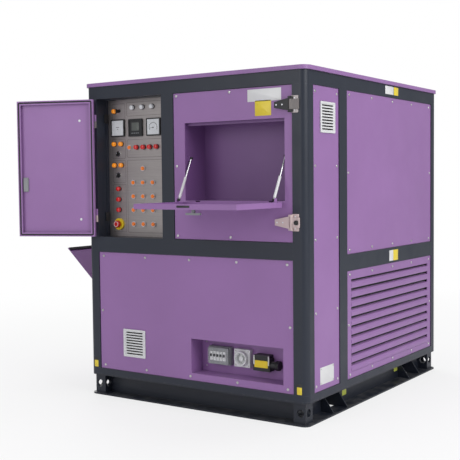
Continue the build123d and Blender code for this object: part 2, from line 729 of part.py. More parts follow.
def flap_handle():
    """The turn handle under the flap near its free edge."""
    x = (HATCH_X0 + HATCH_X1) / 2 + 30
    y = FLAP_AXIS_Y - FLAP_REACH + 40
    z = FLAP_AXIS_Z - FLAP_DROP
    stem = rod_z(x, y, z - 16, z - MOVING_GAP, 9)
    grip = block(x - 42, x + 42, y - 9, y + 9, z - 26, z - 16)
    return stem + fillet(grip.edges().filter_by(Axis.Z), 5)


STRUT_LONG = hypot(STRUT_WALL[0] - STRUT_FLAP[0], STRUT_WALL[1] - STRUT_FLAP[1])
STRUT_TILT = degrees(atan2(STRUT_WALL[0] - STRUT_FLAP[0], STRUT_WALL[1] - STRUT_FLAP[1]))


def along_strut(x, shape):
    """Place a shape whose Z axis starts at the flap pivot onto the strut's line."""
    return Pos(x, STRUT_FLAP[0], STRUT_FLAP[1]) * Rot(-STRUT_TILT, 0, 0) * shape


def strut_cylinder(x):
    """The white gas cylinder with the eye at the flap end."""
    tube = Pos(0, 0, 70) * Cylinder(STRUT_R, 116) - Pos(0, 0, 74) * Cylinder(ROD_R + 0.05, 120)
    eye = Rot(0, 90, 0) * Cylinder(EYE_R, 8)
    neck = Pos(0, 0, 8) * Cylinder(4, 8)
    return along_strut(x, joined([tube, eye, neck]))


def strut_rod(x):
    """The chrome rod with the eye at the wall bracket."""
    shaft = Pos(0, 0, (STRUT_LONG + 92) / 2) * Cylinder(ROD_R, STRUT_LONG - 92)
    eye = Pos(0, 0, STRUT_LONG) * Rot(0, 90, 0) * Cylinder(EYE_R, 10)
    return along_strut(x, shaft + eye)


# --- left flap -------------------------------------------------------------------------------

def left_flap():
    """The bottom-hinged cover of the terminal hatch, standing part open."""
    tall = block(LEFT_AXIS_X + 1, LEFT_AXIS_X + 4, LEFT_Y0 - 14, LEFT_Y1 + 14, LEFT_Z + 8, LEFT_Z + LEFT_LONG)
    folds = block(LEFT_AXIS_X + 4, LEFT_AXIS_X + 7, LEFT_Y0 - 14, LEFT_Y1 + 14, LEFT_Z + LEFT_LONG - 16,
                  LEFT_Z + LEFT_LONG)
    pieces = [tall, folds]
    for y in (LEFT_Y0 + 80, LEFT_Y1 - 80):
        pieces.append(rod_y(LEFT_AXIS_X, y - 30, y + 30, LEFT_Z, 5))
        pieces.append(block(LEFT_AXIS_X, LEFT_AXIS_X + 4, y - 30, y + 30, LEFT_Z, LEFT_Z + 10))
    for y in (LEFT_Y0 + 10, LEFT_Y1 - 10):
        pieces.append(block(LEFT_AXIS_X - 9, LEFT_AXIS_X + 1, y - 8, y + 8, LEFT_Z + 20, LEFT_Z + 280))
    shut = joined(pieces)
    return Pos(LEFT_AXIS_X, 0, LEFT_Z) * Rot(0, -LEFT_OPEN, 0) * Pos(-LEFT_AXIS_X, 0, -LEFT_Z) * shut


def left_hinge_blocks():
    """Fixed knuckles beside the left flap's own."""
    pieces = []
    for y in (LEFT_Y0 + 80, LEFT_Y1 - 80):
        for a, b in ((y - 60, y - 30 - MOVING_GAP), (y + 30 + MOVING_GAP, y + 60)):
            knuckle = rod_y(LEFT_AXIS_X, a, b, LEFT_Z, 5)
            foot = block(LEFT_AXIS_X, -XR + PANEL_BACK, a, b, LEFT_Z - 22, LEFT_Z - 3)
            pieces.append(knuckle + foot)
    return pieces


# --- inside ----------------------------------------------------------------------------------

def floor_deck():
    """The deck plate that carries what stands inside."""
    deep = RAIL_DEEP
    return block(-XR + deep, XR - deep, YF + deep, YB - deep, BEAM_TOP, DECK_TOP)


def fan_housing():
    """The axial fan's ring, motor, motor arms and feet, blowing along X."""
    x0 = FAN_X - 70
    x1 = FAN_X + 70
    duct = rod_x(x0, x1, FAN_Y, FAN_Z, FAN_R + 12) - rod_x(x0 - 1, x1 + 1, FAN_Y, FAN_Z, FAN_R + 8)
    motor = rod_x(x0 - 120, x0 + 20, FAN_Y, FAN_Z, 70)
    shaft = rod_x(x0 + 20, x0 + 26 - MOVING_GAP, FAN_Y, FAN_Z, 12)
    pieces = [duct, motor, shaft]
    for angle in (45, 135):
        arm = Box(STEEL, 2 * (FAN_R + 9), 20)
        pieces.append(Pos(x0 + 10, FAN_Y, FAN_Z) * Rot(angle, 0, 0) * arm)
    stance = 0.8 * FAN_R
    foot_top = FAN_Z - 0.68 * FAN_R
    for edge in (FAN_Y - stance, FAN_Y + stance):
        pieces.append(block(x0 + 10, x1 - 10, edge - 10, edge + 10, DECK_TOP, foot_top))
    return joined(pieces)


def fan_impeller():
    """Hub and six pitched blades."""
    hub = rod_x(FAN_X - 44, FAN_X + 30, FAN_Y, FAN_Z, HUB_R)
    root = HUB_R - 5
    tip = FAN_R - 15
    blades = []
    for index in range(6):
        blade = Pos(0, 0, (root + tip) / 2) * Rot(0, 0, 35) * Box(6, 90, tip - root)
        blades.append(Pos(FAN_X - 6, FAN_Y, FAN_Z) * Rot(index * 60, 0, 0) * blade)
    return joined([hub] + blades)


def resistor_racks():
    """Two end plates on legs that carry the heating elements."""
    pieces = []
    for x in RACK_XS:
        pieces.append(block(x - 3, x + 3, RACK_Y0, RACK_Y1, RACK_Z0, RACK_Z1))
        for y in (RACK_Y0 + 20, RACK_Y1 - 20):
            pieces.append(block(x - 20, x + 20, y - 20, y + 20, DECK_TOP, RACK_Z0))
    plates = joined(pieces)
    cutters = [rod_x(x - 5, x + 5, y, z, ELEMENT_R) for x in RACK_XS for y, z in element_places()]
    return plates - cutters


def element_places():
    """The grid of heating elements."""
    ys = spread(RACK_Y0 + 60, RACK_Y1 - 60, 6)
    zs = spread(RACK_Z0 + 70, RACK_Z1 - 70, 8)
    return [(y, z) for y in ys for z in zs]


def heating_elements():
    """Straight tubular elements through both end plates."""
    bars = []
    for y, z in element_places():
        bars.append(rod_x(RACK_XS[0] - 40, RACK_XS[1] + 40, y, z, ELEMENT_R))
    return apart(bars)


def contactor_plate():
    """The mounting plate behind the control panel with its contactors."""
    back = BAY_BACK - LINING
    plate = block(BAY_X0 + 20, BAY_X1 - 20, back - 6, back, MID_Z1 + 49, PANEL_Z1 - 52)
    blocks = []
    for z in spread(MID_Z1 + 149, PANEL_Z1 - 212, 3):
        for x in spread(BAY_X0 + 83, BAY_X1 - 70, 4):
            blocks.append(block(x - 36, x + 36, back - 86, back - 6, z - 55, z + 55))
    return joined([plate] + blocks)


def power_terminals():
    """Insulating board with four copper studs behind the left hatch."""
    x = TERMINAL_X
    z0 = LEFT_Z + 34
    board = block(x, x + 12, LEFT_Y0 + 20, LEFT_Y1 - 20, z0, MID_Z1 - 11)
    legs = [block(x, x + 40, y - 20, y + 20, DECK_TOP, z0) for y in (LEFT_Y0 + 50, LEFT_Y1 - 50)]
    studs = []
    for y in spread(LEFT_Y0 + 120, LEFT_Y1 - 120, 4):
        studs.append(rod_x(x - 40, x, y, z0 + 170, 12))
        studs.append(rod_x(x - 12, x, y, z0 + 170, 26))
    return joined([board] + legs + studs)


NODES = {
    "skid_beams": skid_beams, "fork_pockets": fork_pockets,
    "corner_posts": corner_posts, "frame_rails": frame_rails, "roof_cover": roof_cover,
    "lower_front_panel": lower_front_panel, "right_narrow_panel": right_narrow_panel,
    "right_upper_panel": right_upper_panel, "left_hatch_panel": left_hatch_panel,
    "left_rear_panel": left_rear_panel, "panel_screws": panel_screws, "vent_grilles": vent_grilles,
    "socket_recess_box": socket_recess_box, "breaker_box": breaker_box, "socket_outlet": socket_outlet,
    "cable_connector": cable_connector, "control_bay_box": control_bay_box, "control_panel": control_panel,
    "panel_meters": panel_meters, "pilot_lamps": pilot_lamps, "button_bezels": button_bezels,
    "estop_button": estop_button, "key_switch": key_switch, "control_door": control_door,
    "door_latch": door_latch, "fixed_hinge_leaves": fixed_hinge_leaves, "access_panel": access_panel,
    "strap_hinge_straps": strap_hinge_straps, "hatch_box": hatch_box, "flap": flap,
    "flap_handle": flap_handle, "left_flap": left_flap,
    "fan_housing": fan_housing, "fan_impeller": fan_impeller, "resistor_racks": resistor_racks,
    "heating_elements": heating_elements, "contactor_plate": contactor_plate,
    "power_terminals": power_terminals,
}


def main():
    """Write every node."""
    os.makedirs("parts", exist_ok=True)
    for node, build in NODES.items():
        save(build(), node)
    side = right_place(louvred_panel(SIDE_DIV_Y1, PY, PANEL_Z0, SIDE_MID_Z0, LOUVRE_EDGE, LOUVRE_COUNT))
    save(side, "right_louver_panel")
    rear = rear_place(louvred_panel(-PX, PX, PANEL_Z0, PANEL_Z1, REAR_EDGE, REAR_LOUVRES))
    save(rear, "rear_louver_panel")
    for node, place in button_places().items():
        save(button(*place), node)
    save(selector(*SELECTORS[0]), "selector_upper")
    save(selector(*SELECTORS[1]), "selector_lower")
    for name, x in zip(("left", "right"), STRUT_XS):
        save(strut_cylinder(x), "strut_cylinder_" + name)
        save(strut_rod(x), "strut_rod_" + name)


main()
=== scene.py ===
import json
import math

import bpy
import numpy as np
from mathutils import Matrix, Vector


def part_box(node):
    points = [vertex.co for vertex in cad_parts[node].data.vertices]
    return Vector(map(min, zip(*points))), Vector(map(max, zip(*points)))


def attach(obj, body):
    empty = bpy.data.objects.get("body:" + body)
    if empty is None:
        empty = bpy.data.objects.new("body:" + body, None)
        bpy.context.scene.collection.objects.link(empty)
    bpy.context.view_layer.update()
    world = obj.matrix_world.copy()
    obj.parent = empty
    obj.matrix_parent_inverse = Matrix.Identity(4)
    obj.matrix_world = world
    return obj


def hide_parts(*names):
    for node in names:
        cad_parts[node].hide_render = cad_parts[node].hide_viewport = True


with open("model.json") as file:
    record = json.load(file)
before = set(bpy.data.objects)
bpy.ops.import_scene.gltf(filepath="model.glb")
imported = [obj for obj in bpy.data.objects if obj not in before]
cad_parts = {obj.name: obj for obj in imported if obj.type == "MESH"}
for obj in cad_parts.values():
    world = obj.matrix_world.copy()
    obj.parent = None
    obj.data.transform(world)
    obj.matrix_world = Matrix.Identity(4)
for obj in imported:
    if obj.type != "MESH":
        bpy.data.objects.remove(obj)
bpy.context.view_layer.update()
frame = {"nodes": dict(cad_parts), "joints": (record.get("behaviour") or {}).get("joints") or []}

# Places worked out from the CAD nodes, in metres.
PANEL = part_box("control_panel")
PANEL_Y = PANEL[0][1]
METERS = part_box("panel_meters")
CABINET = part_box("frame_rails")
FRONT_Y = CABINET[0][1]
RIGHT_X = CABINET[1][0]

# Places and levels that no CAD node gives, in metres.
FACE_INSET = 0.004
METER_HALF = 0.048
LAMP_R = 0.014
STOP_LAMP_ZS = (1.156, 1.097, 1.039)
STOP_GROUP_TOP = 1.182
JAMB_BLOCK_ZS = (1.000, 1.548)
STRAP_HALF = 0.038
STRAP_COAT_Z = 1.26
SIDE_VENT_Y = -0.603
RATING_Z = 0.224
POST_BLANK_X = 0.657
POST_BLANK_Z = 0.183
POST_COAT_Z = 0.193

# Outlines that several plates share, as (inset, rise) points from the back edge to the front.
THIN = [(0, 0), (0, 0.0004), (0.0004, 0.0006)]
SHEET = [(0, 0), (0, 0.002), (0.001, 0.003)]
TOGGLE = [(0, 0), (0, 0.004), (0.002, 0.006)]


# --- node helpers ----------------------------------------------------------------------------

def group_start(name, inputs, outputs):
    """An empty node group with inputs (name, kind, default) and outputs (name, kind)."""
    group = bpy.data.node_groups.new(name, "ShaderNodeTree")
    for label, kind, value in inputs:
        socket = group.interface.new_socket(name=label, in_out="INPUT", socket_type=kind)
        socket.default_value = value
    for label, kind in outputs:
        group.interface.new_socket(name=label, in_out="OUTPUT", socket_type=kind)
    return group, group.nodes.new("NodeGroupInput"), group.nodes.new("NodeGroupOutput")


def noise(tree, coords, scale, detail=3.0, rough=0.5):
    """A noise texture read at the given coordinates."""
    node = tree.nodes.new("ShaderNodeTexNoise")
    node.inputs["Scale"].default_value = scale
    node.inputs["Detail"].default_value = detail
    node.inputs["Roughness"].default_value = rough
    tree.links.new(coords, node.inputs["Vector"])
    return node.outputs["Fac"]


def spread(tree, value, low, high, out_low, out_high):
    """Map one range of values to another, clamped."""
    node = tree.nodes.new("ShaderNodeMapRange")
    node.inputs["From Min"].default_value = low
    node.inputs["From Max"].default_value = high
    node.inputs["To Min"].default_value = out_low
    node.inputs["To Max"].default_value = out_high
    tree.links.new(value, node.inputs["Value"])
    return node.outputs["Result"]


def arith(tree, kind, a, b):
    """One math node; a and b are sockets or numbers."""
    node = tree.nodes.new("ShaderNodeMath")
    node.operation = kind
    for index, part in enumerate((a, b)):
        if isinstance(part, (int, float)):
            node.inputs[index].default_value = part
        else:
            tree.links.new(part, node.inputs[index])
    return node.outputs[0]


def blend_colour(tree, factor, a, b, kind="MIX"):
    """Mix two colours; a and b are sockets or RGB tuples."""
    node = tree.nodes.new("ShaderNodeMix")
    node.data_type = "RGBA"
    node.blend_type = kind
    if isinstance(factor, (int, float)):
        node.inputs[0].default_value = factor
    else:
        tree.links.new(factor, node.inputs[0])
    for index, part in ((6, a), (7, b)):
        if isinstance(part, tuple):
            node.inputs[index].default_value = (*part, 1.0)
        else:
            tree.links.new(part, node.inputs[index])
    return node.outputs[2]


def bump(tree, height, strength, distance):
    """A bump node fed by a height."""
    node = tree.nodes.new("ShaderNodeBump")
    node.inputs["Strength"].default_value = strength
    node.inputs["Distance"].default_value = distance
    tree.links.new(height, node.inputs["Height"])
    return node.outputs["Normal"]


def stretched(tree, coords, scale):
    """Coordinates scaled by a different amount along each axis."""
    node = tree.nodes.new("ShaderNodeMapping")
    node.inputs["Scale"].default_value = scale
    tree.links.new(coords, node.inputs["Vector"])
    return node.outputs["Vector"]


def make_paint_group():
    """Powder coat: fine orange-peel bump, soft large tone changes, dust on upward faces."""
    group, start, end = group_start(
        "powder_coat",
        [("Vector", "NodeSocketVector", (0, 0, 0)), ("Colour", "NodeSocketColor", (1, 1, 1, 1)),
         ("Peel", "NodeSocketFloat", 0.25), ("Dust", "NodeSocketFloat", 0.3)],
        [("Colour", "NodeSocketColor"), ("Rough", "NodeSocketFloat"), ("Normal", "NodeSocketVector")],
    )
    coords = start.outputs["Vector"]
    peel = noise(group, coords, 700.0, 2.0)
    tone = spread(group, noise(group, coords, 2.2, 4.0), 0.3, 0.7, 0.94, 1.05)
    hue = group.nodes.new("ShaderNodeHueSaturation")
    group.links.new(tone, hue.inputs["Value"])
    group.links.new(start.outputs["Colour"], hue.inputs["Color"])
    geometry = group.nodes.new("ShaderNodeNewGeometry")
    split = group.nodes.new("ShaderNodeSeparateXYZ")
    group.links.new(geometry.outputs["Normal"], split.inputs[0])
    upward = spread(group, split.outputs["Z"], 0.6, 1.0, 0.0, 1.0)
    speckle = spread(group, noise(group, coords, 14.0, 6.0, 0.7), 0.42, 0.7, 0.0, 1.0)
    dusty = arith(group, "MULTIPLY", upward, speckle)
    dusty = arith(group, "MULTIPLY", dusty, start.outputs["Dust"])
    colour = blend_colour(group, dusty, hue.outputs["Color"], (0.55, 0.52, 0.5))
    group.links.new(colour, end.inputs["Colour"])
    smear = spread(group, noise(group, coords, 6.0, 5.0, 0.6), 0.3, 0.7, 0.36, 0.48)
    group.links.new(arith(group, "ADD", smear, dusty), end.inputs["Rough"])
    raised = group.nodes.new("ShaderNodeBump")
    raised.inputs["Distance"].default_value = 0.0002
    group.links.new(peel, raised.inputs["Height"])
    group.links.new(start.outputs["Peel"], raised.inputs["Strength"])
    group.links.new(raised.outputs["Normal"], end.inputs["Normal"])
    return group


def make_wear_group():
    """Edge wear: a 0 to 1 mask along convex edges, broken up by noise."""
    group, start, end = group_start(
        "edge_wear",
        [("Vector", "NodeSocketVector", (0, 0, 0))],
        [("Mask", "NodeSocketFloat")],
    )
    rounded = group.nodes.new("ShaderNodeBevel")
    rounded.samples = 4
    rounded.inputs["Radius"].default_value = 0.0025
    geometry = group.nodes.new("ShaderNodeNewGeometry")
    dot = group.nodes.new("ShaderNodeVectorMath")
    dot.operation = "DOT_PRODUCT"
    group.links.new(rounded.outputs["Normal"], dot.inputs[0])
    group.links.new(geometry.outputs["Normal"], dot.inputs[1])
    edge = spread(group, dot.outputs["Value"], 0.9, 0.995, 1.0, 0.0)
    chips = spread(group, noise(group, start.outputs["Vector"], 60.0, 5.0, 0.7), 0.45, 0.62, 0.0, 1.0)
    group.links.new(arith(group, "MULTIPLY", edge, chips), end.inputs["Mask"])
    return group


def make_brushed_group():
    """Brushed grain: long thin streaks along X as a tone and a normal."""
    group, start, end = group_start(
        "brushed_grain",
        [("Vector", "NodeSocketVector", (0, 0, 0))],
        [("Tone", "NodeSocketFloat"), ("Normal", "NodeSocketVector")],
    )
    lines = noise(group, stretched(group, start.outputs["Vector"], (6.0, 900.0, 900.0)), 1.0, 4.0, 0.6)
    group.links.new(spread(group, lines, 0.3, 0.7, 0.82, 1.1), end.inputs["Tone"])
    group.links.new(bump(group, lines, 0.2, 0.0002), end.inputs["Normal"])
    return group


PAINT_GROUP = make_paint_group()
WEAR_GROUP = make_wear_group()
BRUSHED_GROUP = make_brushed_group()


def blank_material(name, rough=0.5, metal=0.0):
    """A new node material with its shader and object coordinates."""
    material = bpy.data.materials.new(name)
    material.use_nodes = True
    tree = material.node_tree
    shader = tree.nodes["Principled BSDF"]
    shader.inputs["Roughness"].default_value = rough
    shader.inputs["Metallic"].default_value = metal
    coords = tree.nodes.new("ShaderNodeTexCoord").outputs["Object"]
    return material, tree, shader, coords


def use_group(tree, group, coords):
    """An instance of a shared group reading these coordinates."""
    node = tree.nodes.new("ShaderNodeGroup")
    node.node_tree = group
    tree.links.new(coords, node.inputs["Vector"])
    return node


def paint(name, colour, peel=0.25, dust=0.3, worn=(0.3, 0.3, 0.31), wear=0.5):
    """Powder-coated steel with worn edges."""
    material, tree, shader, coords = blank_material(name)
    coat = use_group(tree, PAINT_GROUP, coords)
    coat.inputs["Colour"].default_value = (*colour, 1.0)
    coat.inputs["Peel"].default_value = peel
    coat.inputs["Dust"].default_value = dust
    mask = arith(tree, "MULTIPLY", use_group(tree, WEAR_GROUP, coords).outputs["Mask"], wear)
    tree.links.new(blend_colour(tree, mask, coat.outputs["Colour"], worn), shader.inputs["Base Color"])
    tree.links.new(coat.outputs["Rough"], shader.inputs["Roughness"])
    tree.links.new(coat.outputs["Normal"], shader.inputs["Normal"])
    return material


def brushed(name, colour, rough=0.36):
    """Brushed metal with streaks along X."""
    material, tree, shader, coords = blank_material(name, rough, 0.85)
    grain = use_group(tree, BRUSHED_GROUP, coords)
    hue = tree.nodes.new("ShaderNodeHueSaturation")
    hue.inputs["Color"].default_value = (*colour, 1.0)
    tree.links.new(grain.outputs["Tone"], hue.inputs["Value"])
    tree.links.new(hue.outputs["Color"], shader.inputs["Base Color"])
    tree.links.new(grain.outputs["Normal"], shader.inputs["Normal"])
    return material


def plated(name, colour, rough=0.16, blotch=25.0):
    """Bright plated metal with faint clouding."""
    material, tree, shader, coords = blank_material(name, rough, 1.0)
    cloud = noise(tree, coords, blotch, 4.0)
    tone = spread(tree, cloud, 0.3, 0.7, 0.0, 1.0)
    dull = tuple(c * 0.78 for c in colour)
    tree.links.new(blend_colour(tree, tone, dull, colour), shader.inputs["Base Color"])
    tree.links.new(spread(tree, cloud, 0.3, 0.7, rough, rough + 0.14), shader.inputs["Roughness"])
    return material


def moulded(name, colour, rough=0.45, grain=900.0, strength=0.15):
    """Moulded plastic with a fine spark-eroded texture."""
    material, tree, shader, coords = blank_material(name, rough)
    fine = noise(tree, coords, grain, 2.0)
    broad = spread(tree, noise(tree, coords, 9.0, 4.0), 0.3, 0.7, 0.0, 1.0)
    darker = tuple(c * 0.9 for c in colour)
    tree.links.new(blend_colour(tree, broad, darker, colour), shader.inputs["Base Color"])
    tree.links.new(bump(tree, fine, strength, 0.0002), shader.inputs["Normal"])
    tree.links.new(spread(tree, broad, 0.0, 1.0, rough - 0.04, rough + 0.06), shader.inputs["Roughness"])
    return material


def lens(name, colour, glow=0.25):
    """A translucent lamp lens with a prism texture."""
    material, tree, shader, coords = blank_material(name, 0.14)
    cells = tree.nodes.new("ShaderNodeTexVoronoi")
    cells.inputs["Scale"].default_value = 420.0
    tree.links.new(coords, cells.inputs["Vector"])
    tone = spread(tree, cells.outputs["Distance"], 0.0, 0.8, 0.0, 1.0)
    deep = tuple(c * 0.72 for c in colour)
    tree.links.new(blend_colour(tree, tone, deep, colour), shader.inputs["Base Color"])
    tree.links.new(bump(tree, cells.outputs["Distance"], 0.25, 0.0004), shader.inputs["Normal"])
    shader.inputs["Coat Weight"].default_value = 0.6
    shader.inputs["Emission Color"].default_value = (*colour, 1.0)
    shader.inputs["Emission Strength"].default_value = glow
    return material


def clear_cover(name):
    """Slightly smoked clear plastic with fine scratches."""
    material, tree, shader, coords = blank_material(name, 0.12)
    shader.inputs["Base Color"].default_value = (0.75, 0.78, 0.8, 1.0)
    shader.inputs["Alpha"].default_value = 0.08
    scratch = noise(tree, stretched(tree, coords, (40.0, 40.0, 900.0)), 1.0, 3.0)
    tree.links.new(spread(tree, scratch, 0.4, 0.7, 0.06, 0.2), shader.inputs["Roughness"])
    return material


def two_heights(name, split, upper, lower, rough=0.4):
    """Coated steel in one colour above a height and another below it."""
    material, tree, shader, coords = blank_material(name, rough)
    place = tree.nodes.new("ShaderNodeSeparateXYZ")
    tree.links.new(coords, place.inputs[0])
    above = arith(tree, "GREATER_THAN", place.outputs["Z"], split)
    coat = use_group(tree, PAINT_GROUP, coords)
    tree.links.new(blend_colour(tree, above, lower, upper), coat.inputs["Colour"])
    tree.links.new(coat.outputs["Colour"], shader.inputs["Base Color"])
    tree.links.new(coat.outputs["Rough"], shader.inputs["Roughness"])
    tree.links.new(coat.outputs["Normal"], shader.inputs["Normal"])
    return material


LAVENDER = (0.31, 0.156, 0.385)
SLATE = (0.015, 0.020, 0.034)
BLACK = (0.012, 0.012, 0.014)
BLUSH = (0.62, 0.49, 0.48)

FINISHES = {
    "panel": paint("lavender_powder_coat", LAVENDER, 0.22, 0.18, (0.42, 0.3, 0.5), 0.5),
    # A darker copy of the lavender paint: painted shade for the inside of the hatch box.
    "inside": paint("lavender_painted_shade", (0.20, 0.095, 0.26), 0.22, 0.1, (0.3, 0.2, 0.36), 0.3),
    "frame": paint("slate_powder_coat", SLATE, 0.3, 0.25, (0.1, 0.11, 0.13), 0.6),
    "base": paint("base_black_paint", (0.013, 0.017, 0.028), 0.5, 0.15, (0.12, 0.11, 0.11), 0.8),
    "dark": paint("black_steel", BLACK, 0.3, 0.3, (0.12, 0.12, 0.12), 0.6),
    "white_coat": paint("white_tube_coat", (0.72, 0.72, 0.72), 0.1, 0.1, (0.5, 0.5, 0.5), 0.4),
    "zinc": plated("zinc_plate", (0.66, 0.66, 0.64), 0.3, 60.0),
    "chrome": plated("bright_chrome", (0.85, 0.85, 0.86), 0.1),
    "brass": plated("terminal_brass", (0.72, 0.48, 0.22), 0.3),
    "stainless": brushed("brushed_stainless", (0.40, 0.365, 0.36), 0.42),
    "heat_steel": brushed("heat_tinted_tube", (0.36, 0.31, 0.27), 0.45),
    "cast": brushed("cast_aluminium", (0.55, 0.55, 0.56), 0.5),
    "white": moulded("white_moulding", (0.74, 0.745, 0.75), 0.5),
    "grey": moulded("grey_moulding", (0.27, 0.28, 0.29), 0.5),
    "black": moulded("black_moulding", (0.016, 0.016, 0.018), 0.4),
    "red_cap": moulded("red_moulding", (0.55, 0.012, 0.012), 0.28, 500.0, 0.05),
    "yellow": moulded("yellow_moulding", (0.86, 0.62, 0.02), 0.4),
    "orange": lens("orange_cap", (0.86, 0.19, 0.012), 0.12),
    "amber": lens("amber_lens", (0.93, 0.30, 0.012), 0.3),
    "red": lens("red_lens", (0.62, 0.012, 0.012), 0.15),
    # The white lens glows faintly; on screws, the stop button's rim and the selector marks, which are no
    # lamps, that glow is a painted highlight.
    "milk": lens("white_lens", (0.72, 0.73, 0.76), 0.1),
    "clear": clear_cover("clear_cover"),
    "dial": moulded("dial_white", (0.76, 0.77, 0.8), 0.5, 600.0, 0.05),
    "lcd": moulded("lcd_grey", (0.12, 0.13, 0.12), 0.2, 500.0, 0.05),
    "engraved": moulded("engraving_fill", (0.05, 0.045, 0.045), 0.6),
    "rubber": moulded("seal_rubber", (0.02, 0.02, 0.021), 0.75, 500.0, 0.3),
    "straps": two_heights("strap_coats", STRAP_COAT_Z, BLACK, BLUSH),
    "leaves": two_heights("hinge_leaf_coats", STRAP_COAT_Z, (0.20, 0.18, 0.175), BLUSH),
    "blush": moulded("blush_plate", BLUSH, 0.4),
    "post_blank": two_heights("post_blank_coats", POST_COAT_Z, (0.02, 0.02, 0.02), (0.85, 0.66, 0.05)),
    "blank_white": moulded("blank_plate_white", (0.78, 0.78, 0.78), 0.35, 300.0, 0.05),
    "blank_yellow": moulded("blank_plate_yellow", (0.85, 0.66, 0.05), 0.35, 300.0, 0.05),
    "blank_green": moulded("blank_plate_lime", (0.62, 0.68, 0.1), 0.35, 300.0, 0.05),
}

CAD_LOOKS = {
    "base": ["skid_beams", "fork_pockets", "fan_housing"],
    "frame": ["corner_posts", "frame_rails", "control_bay_box"],
    "panel": ["roof_cover", "lower_front_panel", "right_narrow_panel", "right_upper_panel",
              "left_hatch_panel", "right_louver_panel", "left_rear_panel", "rear_louver_panel",
              "socket_recess_box", "control_door", "access_panel", "flap", "left_flap"],
    "zinc": ["panel_screws", "door_latch", "resistor_racks"],
    "leaves": ["fixed_hinge_leaves"],
    # The hatch box takes the darker lavender copy, painted shade.
    "inside": ["hatch_box"],
    "white": ["vent_grilles", "socket_outlet"],
    "grey": ["breaker_box", "flap_handle", "contactor_plate"],
    "dark": ["cable_connector"],
    "stainless": ["control_panel"],
    "black": ["panel_meters", "key_switch", "pilot_lamps", "selector_upper", "selector_lower"],
    "chrome": ["button_bezels", "strut_rod_left", "strut_rod_right"],
    "red_cap": ["estop_button"],
    "white_coat": ["strut_cylinder_left", "strut_cylinder_right"],
    "cast": ["fan_impeller"],
    "heat_steel": ["heating_elements"],
    "brass": ["power_terminals"],
    "straps": ["strap_hinge_straps"],
}
BEVELLED = ("base", "frame", "panel", "inside", "grey", "dark", "black", "zinc", "white", "straps")


def dress_cad():
    """Give every CAD node its finish, and a fine bevel where sheet edges catch light."""
    looks = {node: look for look, nodes in CAD_LOOKS.items() for node in nodes}
    for node, part in frame["nodes"].items():
        look = looks.get(node, "orange")
        for slot in part.material_slots:
            slot.material = FINISHES[look]
        if look in BEVELLED:
            edge = part.modifiers.new("fine_edge", "BEVEL")
            edge.width = 0.0006
            edge.segments = 2
            edge.limit_method = "ANGLE"
            edge.angle_limit = math.radians(40)
            edge.harden_normals = True


# --- mesh helpers ----------------------------------------------------------------------------

AXES = {
    "front": Matrix(((1, 0, 0), (0, 0, -1), (0, 1, 0))),
    "right": Matrix(((0, 0, 1), (1, 0, 0), (0, 1, 0))),
    "left": Matrix(((0, 0, -1), (-1, 0, 0), (0, 1, 0))),
    "rear": Matrix(((-1, 0, 0), (0, 0, 1), (0, 1, 0))),
    "up": Matrix(((1, 0, 0), (0, 1, 0), (0, 0, 1))),
}


def grid_faces(rows, columns):
    """Quads of a grid whose columns run round and close on themselves."""
    r, c = np.meshgrid(np.arange(rows - 1), np.arange(columns), indexing="ij")
    r, c = r.ravel(), c.ravel()
    n = (c + 1) % columns
    return np.stack([r * columns + c, r * columns + n, (r + 1) * columns + n, (r + 1) * columns + c], 1)


def lathe(profile, sides=32):
    """A surface of revolution: each profile point (radius, height) runs round the normal."""
    profile = np.asarray(profile, float)
    turn = np.arange(sides) * 2 * np.pi / sides
    radius = profile[:, 0][:, None]
    x = radius * np.cos(turn)
    y = radius * np.sin(turn)
    z = np.repeat(profile[:, 1][:, None], sides, 1)
    points = np.stack([x, y, z], -1).reshape(-1, 3)
    cap = list(range((len(profile) - 1) * sides, len(profile) * sides))
    return points, grid_faces(len(profile), sides), [cap]


def plate(width, height, radius, profile, corner=5):
    """Plate lofted through rounded rectangles: each profile point (inset, rise) is the outline, a width by
    height rectangle with round corners, shrunk by the inset and lifted by the rise."""
    arc = np.linspace(0, np.pi / 2, corner)
    rings = []
    for inset, rise in profile:
        r = max(radius - inset, 0.00005)
        a, b = width / 2 - inset - r, height / 2 - inset - r
        parts = []
        for quarter, (sx, sy) in enumerate(((1, 1), (-1, 1), (-1, -1), (1, -1))):
            angle = arc + quarter * np.pi / 2
            parts.append(np.stack([sx * a + r * np.cos(angle), sy * b + r * np.sin(angle),
                                   np.full(corner, rise)], -1))
        rings.append(np.concatenate(parts))
    count = 4 * corner
    points = np.concatenate(rings)
    cap = list(range((len(rings) - 1) * count, len(rings) * count))
    return points, grid_faces(len(rings), count), [cap]


def slab(rise):
    """The outline of a plain flat plate of this thickness."""
    return [(0, 0), (0, rise)]


def placed(shape, side, origin, turn=0.0):
    """Turn a shape about its own normal, face it to a side and move it to a point in metres."""
    points, quads, caps = shape
    c, s = math.cos(turn), math.sin(turn)
    spin = np.array(((c, -s, 0), (s, c, 0), (0, 0, 1)))
    facing = np.array(AXES[side])
    return points @ spin.T @ facing.T + np.asarray(origin, float), quads, caps


def uncapped(shape):
    """The same shape without its front cap, so that a ring stays open."""
    return shape[0], shape[1], []


def piece(name, shapes, look, body, smooth=True):
    """Join shapes into one object that rides on a body."""
    points, faces, offset = [], [], 0
    for shape_points, quads, caps in shapes:
        points.append(shape_points)
        faces.extend((quads + offset).tolist())
        faces.extend([[index + offset for index in cap] for cap in caps])
        offset += len(shape_points)
    mesh = bpy.data.meshes.new(name)
    mesh.from_pydata(np.concatenate(points).tolist(), [], faces)
    mesh.polygons.foreach_set("use_smooth", [smooth] * len(mesh.polygons))
    mesh.set_sharp_from_angle(angle=math.radians(35))
    mesh.materials.append(FINISHES[look])
    thing = bpy.data.objects.new(name, mesh)
    bpy.context.scene.collection.objects.link(thing)
    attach(thing, body)
    return thing


def centres(node):
    """Centre of a node's box."""
    low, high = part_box(node)
    return [(a + b) / 2 for a, b in zip(low, high)]


def joint_named(name):
    """The record of the joint with this name."""
    return next(joint for joint in frame["joints"] if joint["name"] == name)


